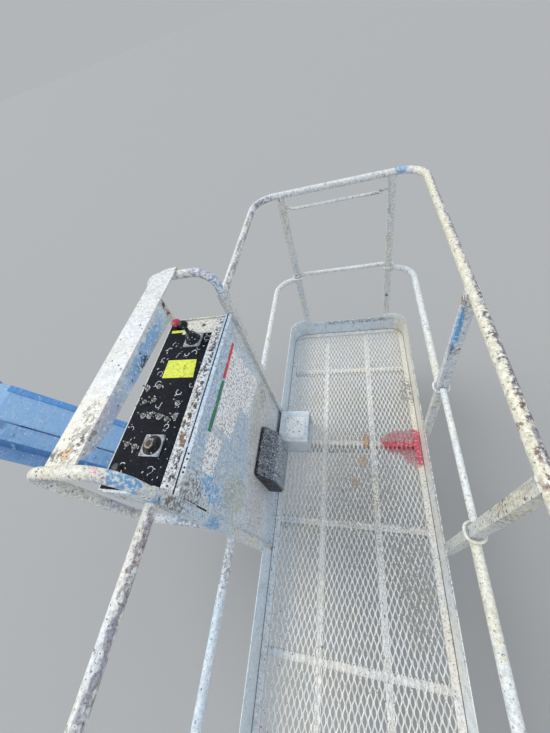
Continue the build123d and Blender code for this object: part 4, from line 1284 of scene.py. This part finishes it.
def bolts(name, places, finish, body="platform", across=0.013):
    """One piece of many bolts; places are (where it sits, which way it points)."""
    parts = [half for at, axis in places for half in bolt(at, axis, across)]
    return piece(name, parts, finish, body, smooth=25)


bracket_out = 0.376
bracket_places = [((x, side * bracket_out, z), (0, side, 0)) for side in (-1, 1)
                  for x, z in ((-0.660, 0.975), (-0.540, 0.975), (-0.500, 0.890))]
bolts("bracket_bolts", bracket_places, "posts")
bolts("panel_bolts", [((-0.557, 0.333, 1.0201), (0, 0, 1))], "stained_bolt", across=0.010)
strip_screw = turned([(0.0038, 0.0), (0.0038, 0.0014), (0.0026, 0.0022)], around=14)
screws += [carried(strip_screw, at=(-0.478, y, strip_top)) for y in (-0.345, -0.12, 0.11, 0.350)]
piece("panel_screws", screws, "stained_bolt")

# %% Set the bolts of the rotator and the pins
head_x, axis_x, plate_x, cap_out, ring_r = -0.880, -0.670, -0.524, 0.1408, 0.038
bolts("support_bolts", [((plate_x, y, z), (1, 0, 0)) for y in (-0.052, 0.052) for z in (-0.075, 0.02, 0.13)],
      "plated", across=0.020)
ring = [(axis_x + ring_r * math.cos(a), ring_r * math.sin(a)) for a in np.arange(8) * math.pi / 4]
bolts("shaft_bolts", [((x, y, 0.2493), (0, 0, 1)) for x, y in ring]
      + [((x, y, -0.1693), (0, 0, -1)) for x, y in ring]
      + [((head_x, side * cap_out, z), (0, side, 0)) for side in (-1, 1) for z in (0.130, -0.120)],
      "plated", "head", across=0.013)

# %% [markdown]
# ## The arm
#
# The arm is a box of four plates, welded along its corners, with a cast boss at each end. Its own line
# runs down at 46.5 degrees from the boom. Beads follow its corners and go round the bosses, the duct on
# its side is held by bolts, and the levelling head has beads on its cheeks. The pieces could be made
# level and turned afterwards, but points that are given along the arm, to its side and upwards from its
# line are in place at once.

# %% Points on the arm, and its welds
slope, arm_length, arm_half, boss_r, coarse = math.radians(46.5), 1.2, 0.0825, 0.0565, 0.007
along_arm = np.array([math.cos(slope), 0.0, -math.sin(slope)])
up_arm = np.array([math.sin(slope), 0.0, math.cos(slope)])


def on_arm(along, side, up):
    """From the arm's upper pin: along, side and up, each times the arm's own direction, added up."""
    along, side, up = np.broadcast_arrays(np.asarray(along, float), side, up)
    return along[..., None] * along_arm + np.stack([0 * side, side, 0 * side], -1) + up[..., None] * up_arm


seam_run = np.linspace(0.135, 1.065, 12)
arm_beads = [bead(on_arm(seam_run, side * arm_half, up * arm_half), 0.0026, (0, 1, 0), pitch=coarse)
             for side, up in corners]
turn = np.linspace(0, 2 * math.pi, 36, endpoint=False)
for along in (0.0, arm_length):
    for side in (-1, 1):
        hoop = on_arm(along + boss_r * np.cos(turn), side * (arm_half + 0.001), boss_r * np.sin(turn))
        arm_beads.append(bead(hoop, 0.0032, (0, 1, 0), True, pitch=coarse))
piece("arm_welds", arm_beads, "blue", "arm", smooth=60)

# %% Dress the arm and the levelling head
# A darker blue sheet along the arm's far top edge is painted shade, where the rounded edge turns from the
# light.
shade_strip_section = [(arm_half - 0.030, arm_half + 0.0002), (arm_half + 0.0015, arm_half + 0.0002),
                 (arm_half + 0.0015, arm_half + 0.0050), (arm_half - 0.027, arm_half + 0.0050)]
edge_shade_strip = [on_arm(np.array([0.115, 1.085]), side, up) for side, up in shade_strip_section]
piece("arm_edge_shade_strip", [shell(np.stack(edge_shade_strip, axis=1))], "edge_shade_blue", "arm", width=0.0012)
duct_side = -(arm_half + 0.008 + 0.075)
duct = [(on_arm(along, duct_side, up) - origin, (0, -1, 0))
        for along in (0.26, 0.58, 0.86) for up in (0.045, -0.020)]
bolts("duct_bolts", duct, "blue", "arm", across=0.016)
duct_top = [(on_arm(along, duct_side + 0.030, arm_half) - origin, up_arm)
            for along in (0.24, 0.42, 0.60, 0.78, 0.96)]
bolts("duct_top_screws", duct_top, "blue", "arm", across=0.010)
cheek_y, head_low, head_high = 0.1085, -0.13, 0.21
head_beads = []
for side in (-1, 1):
    for x in (head_x + 0.086, head_x + 0.104):
        run = np.linspace((x, side * cheek_y, head_low), (x, side * cheek_y, head_high), 10)
        head_beads.append(bead(run + origin, 0.0035, (1, 0, 0), pitch=coarse))
piece("head_welds", head_beads, "blue", "head", smooth=60)
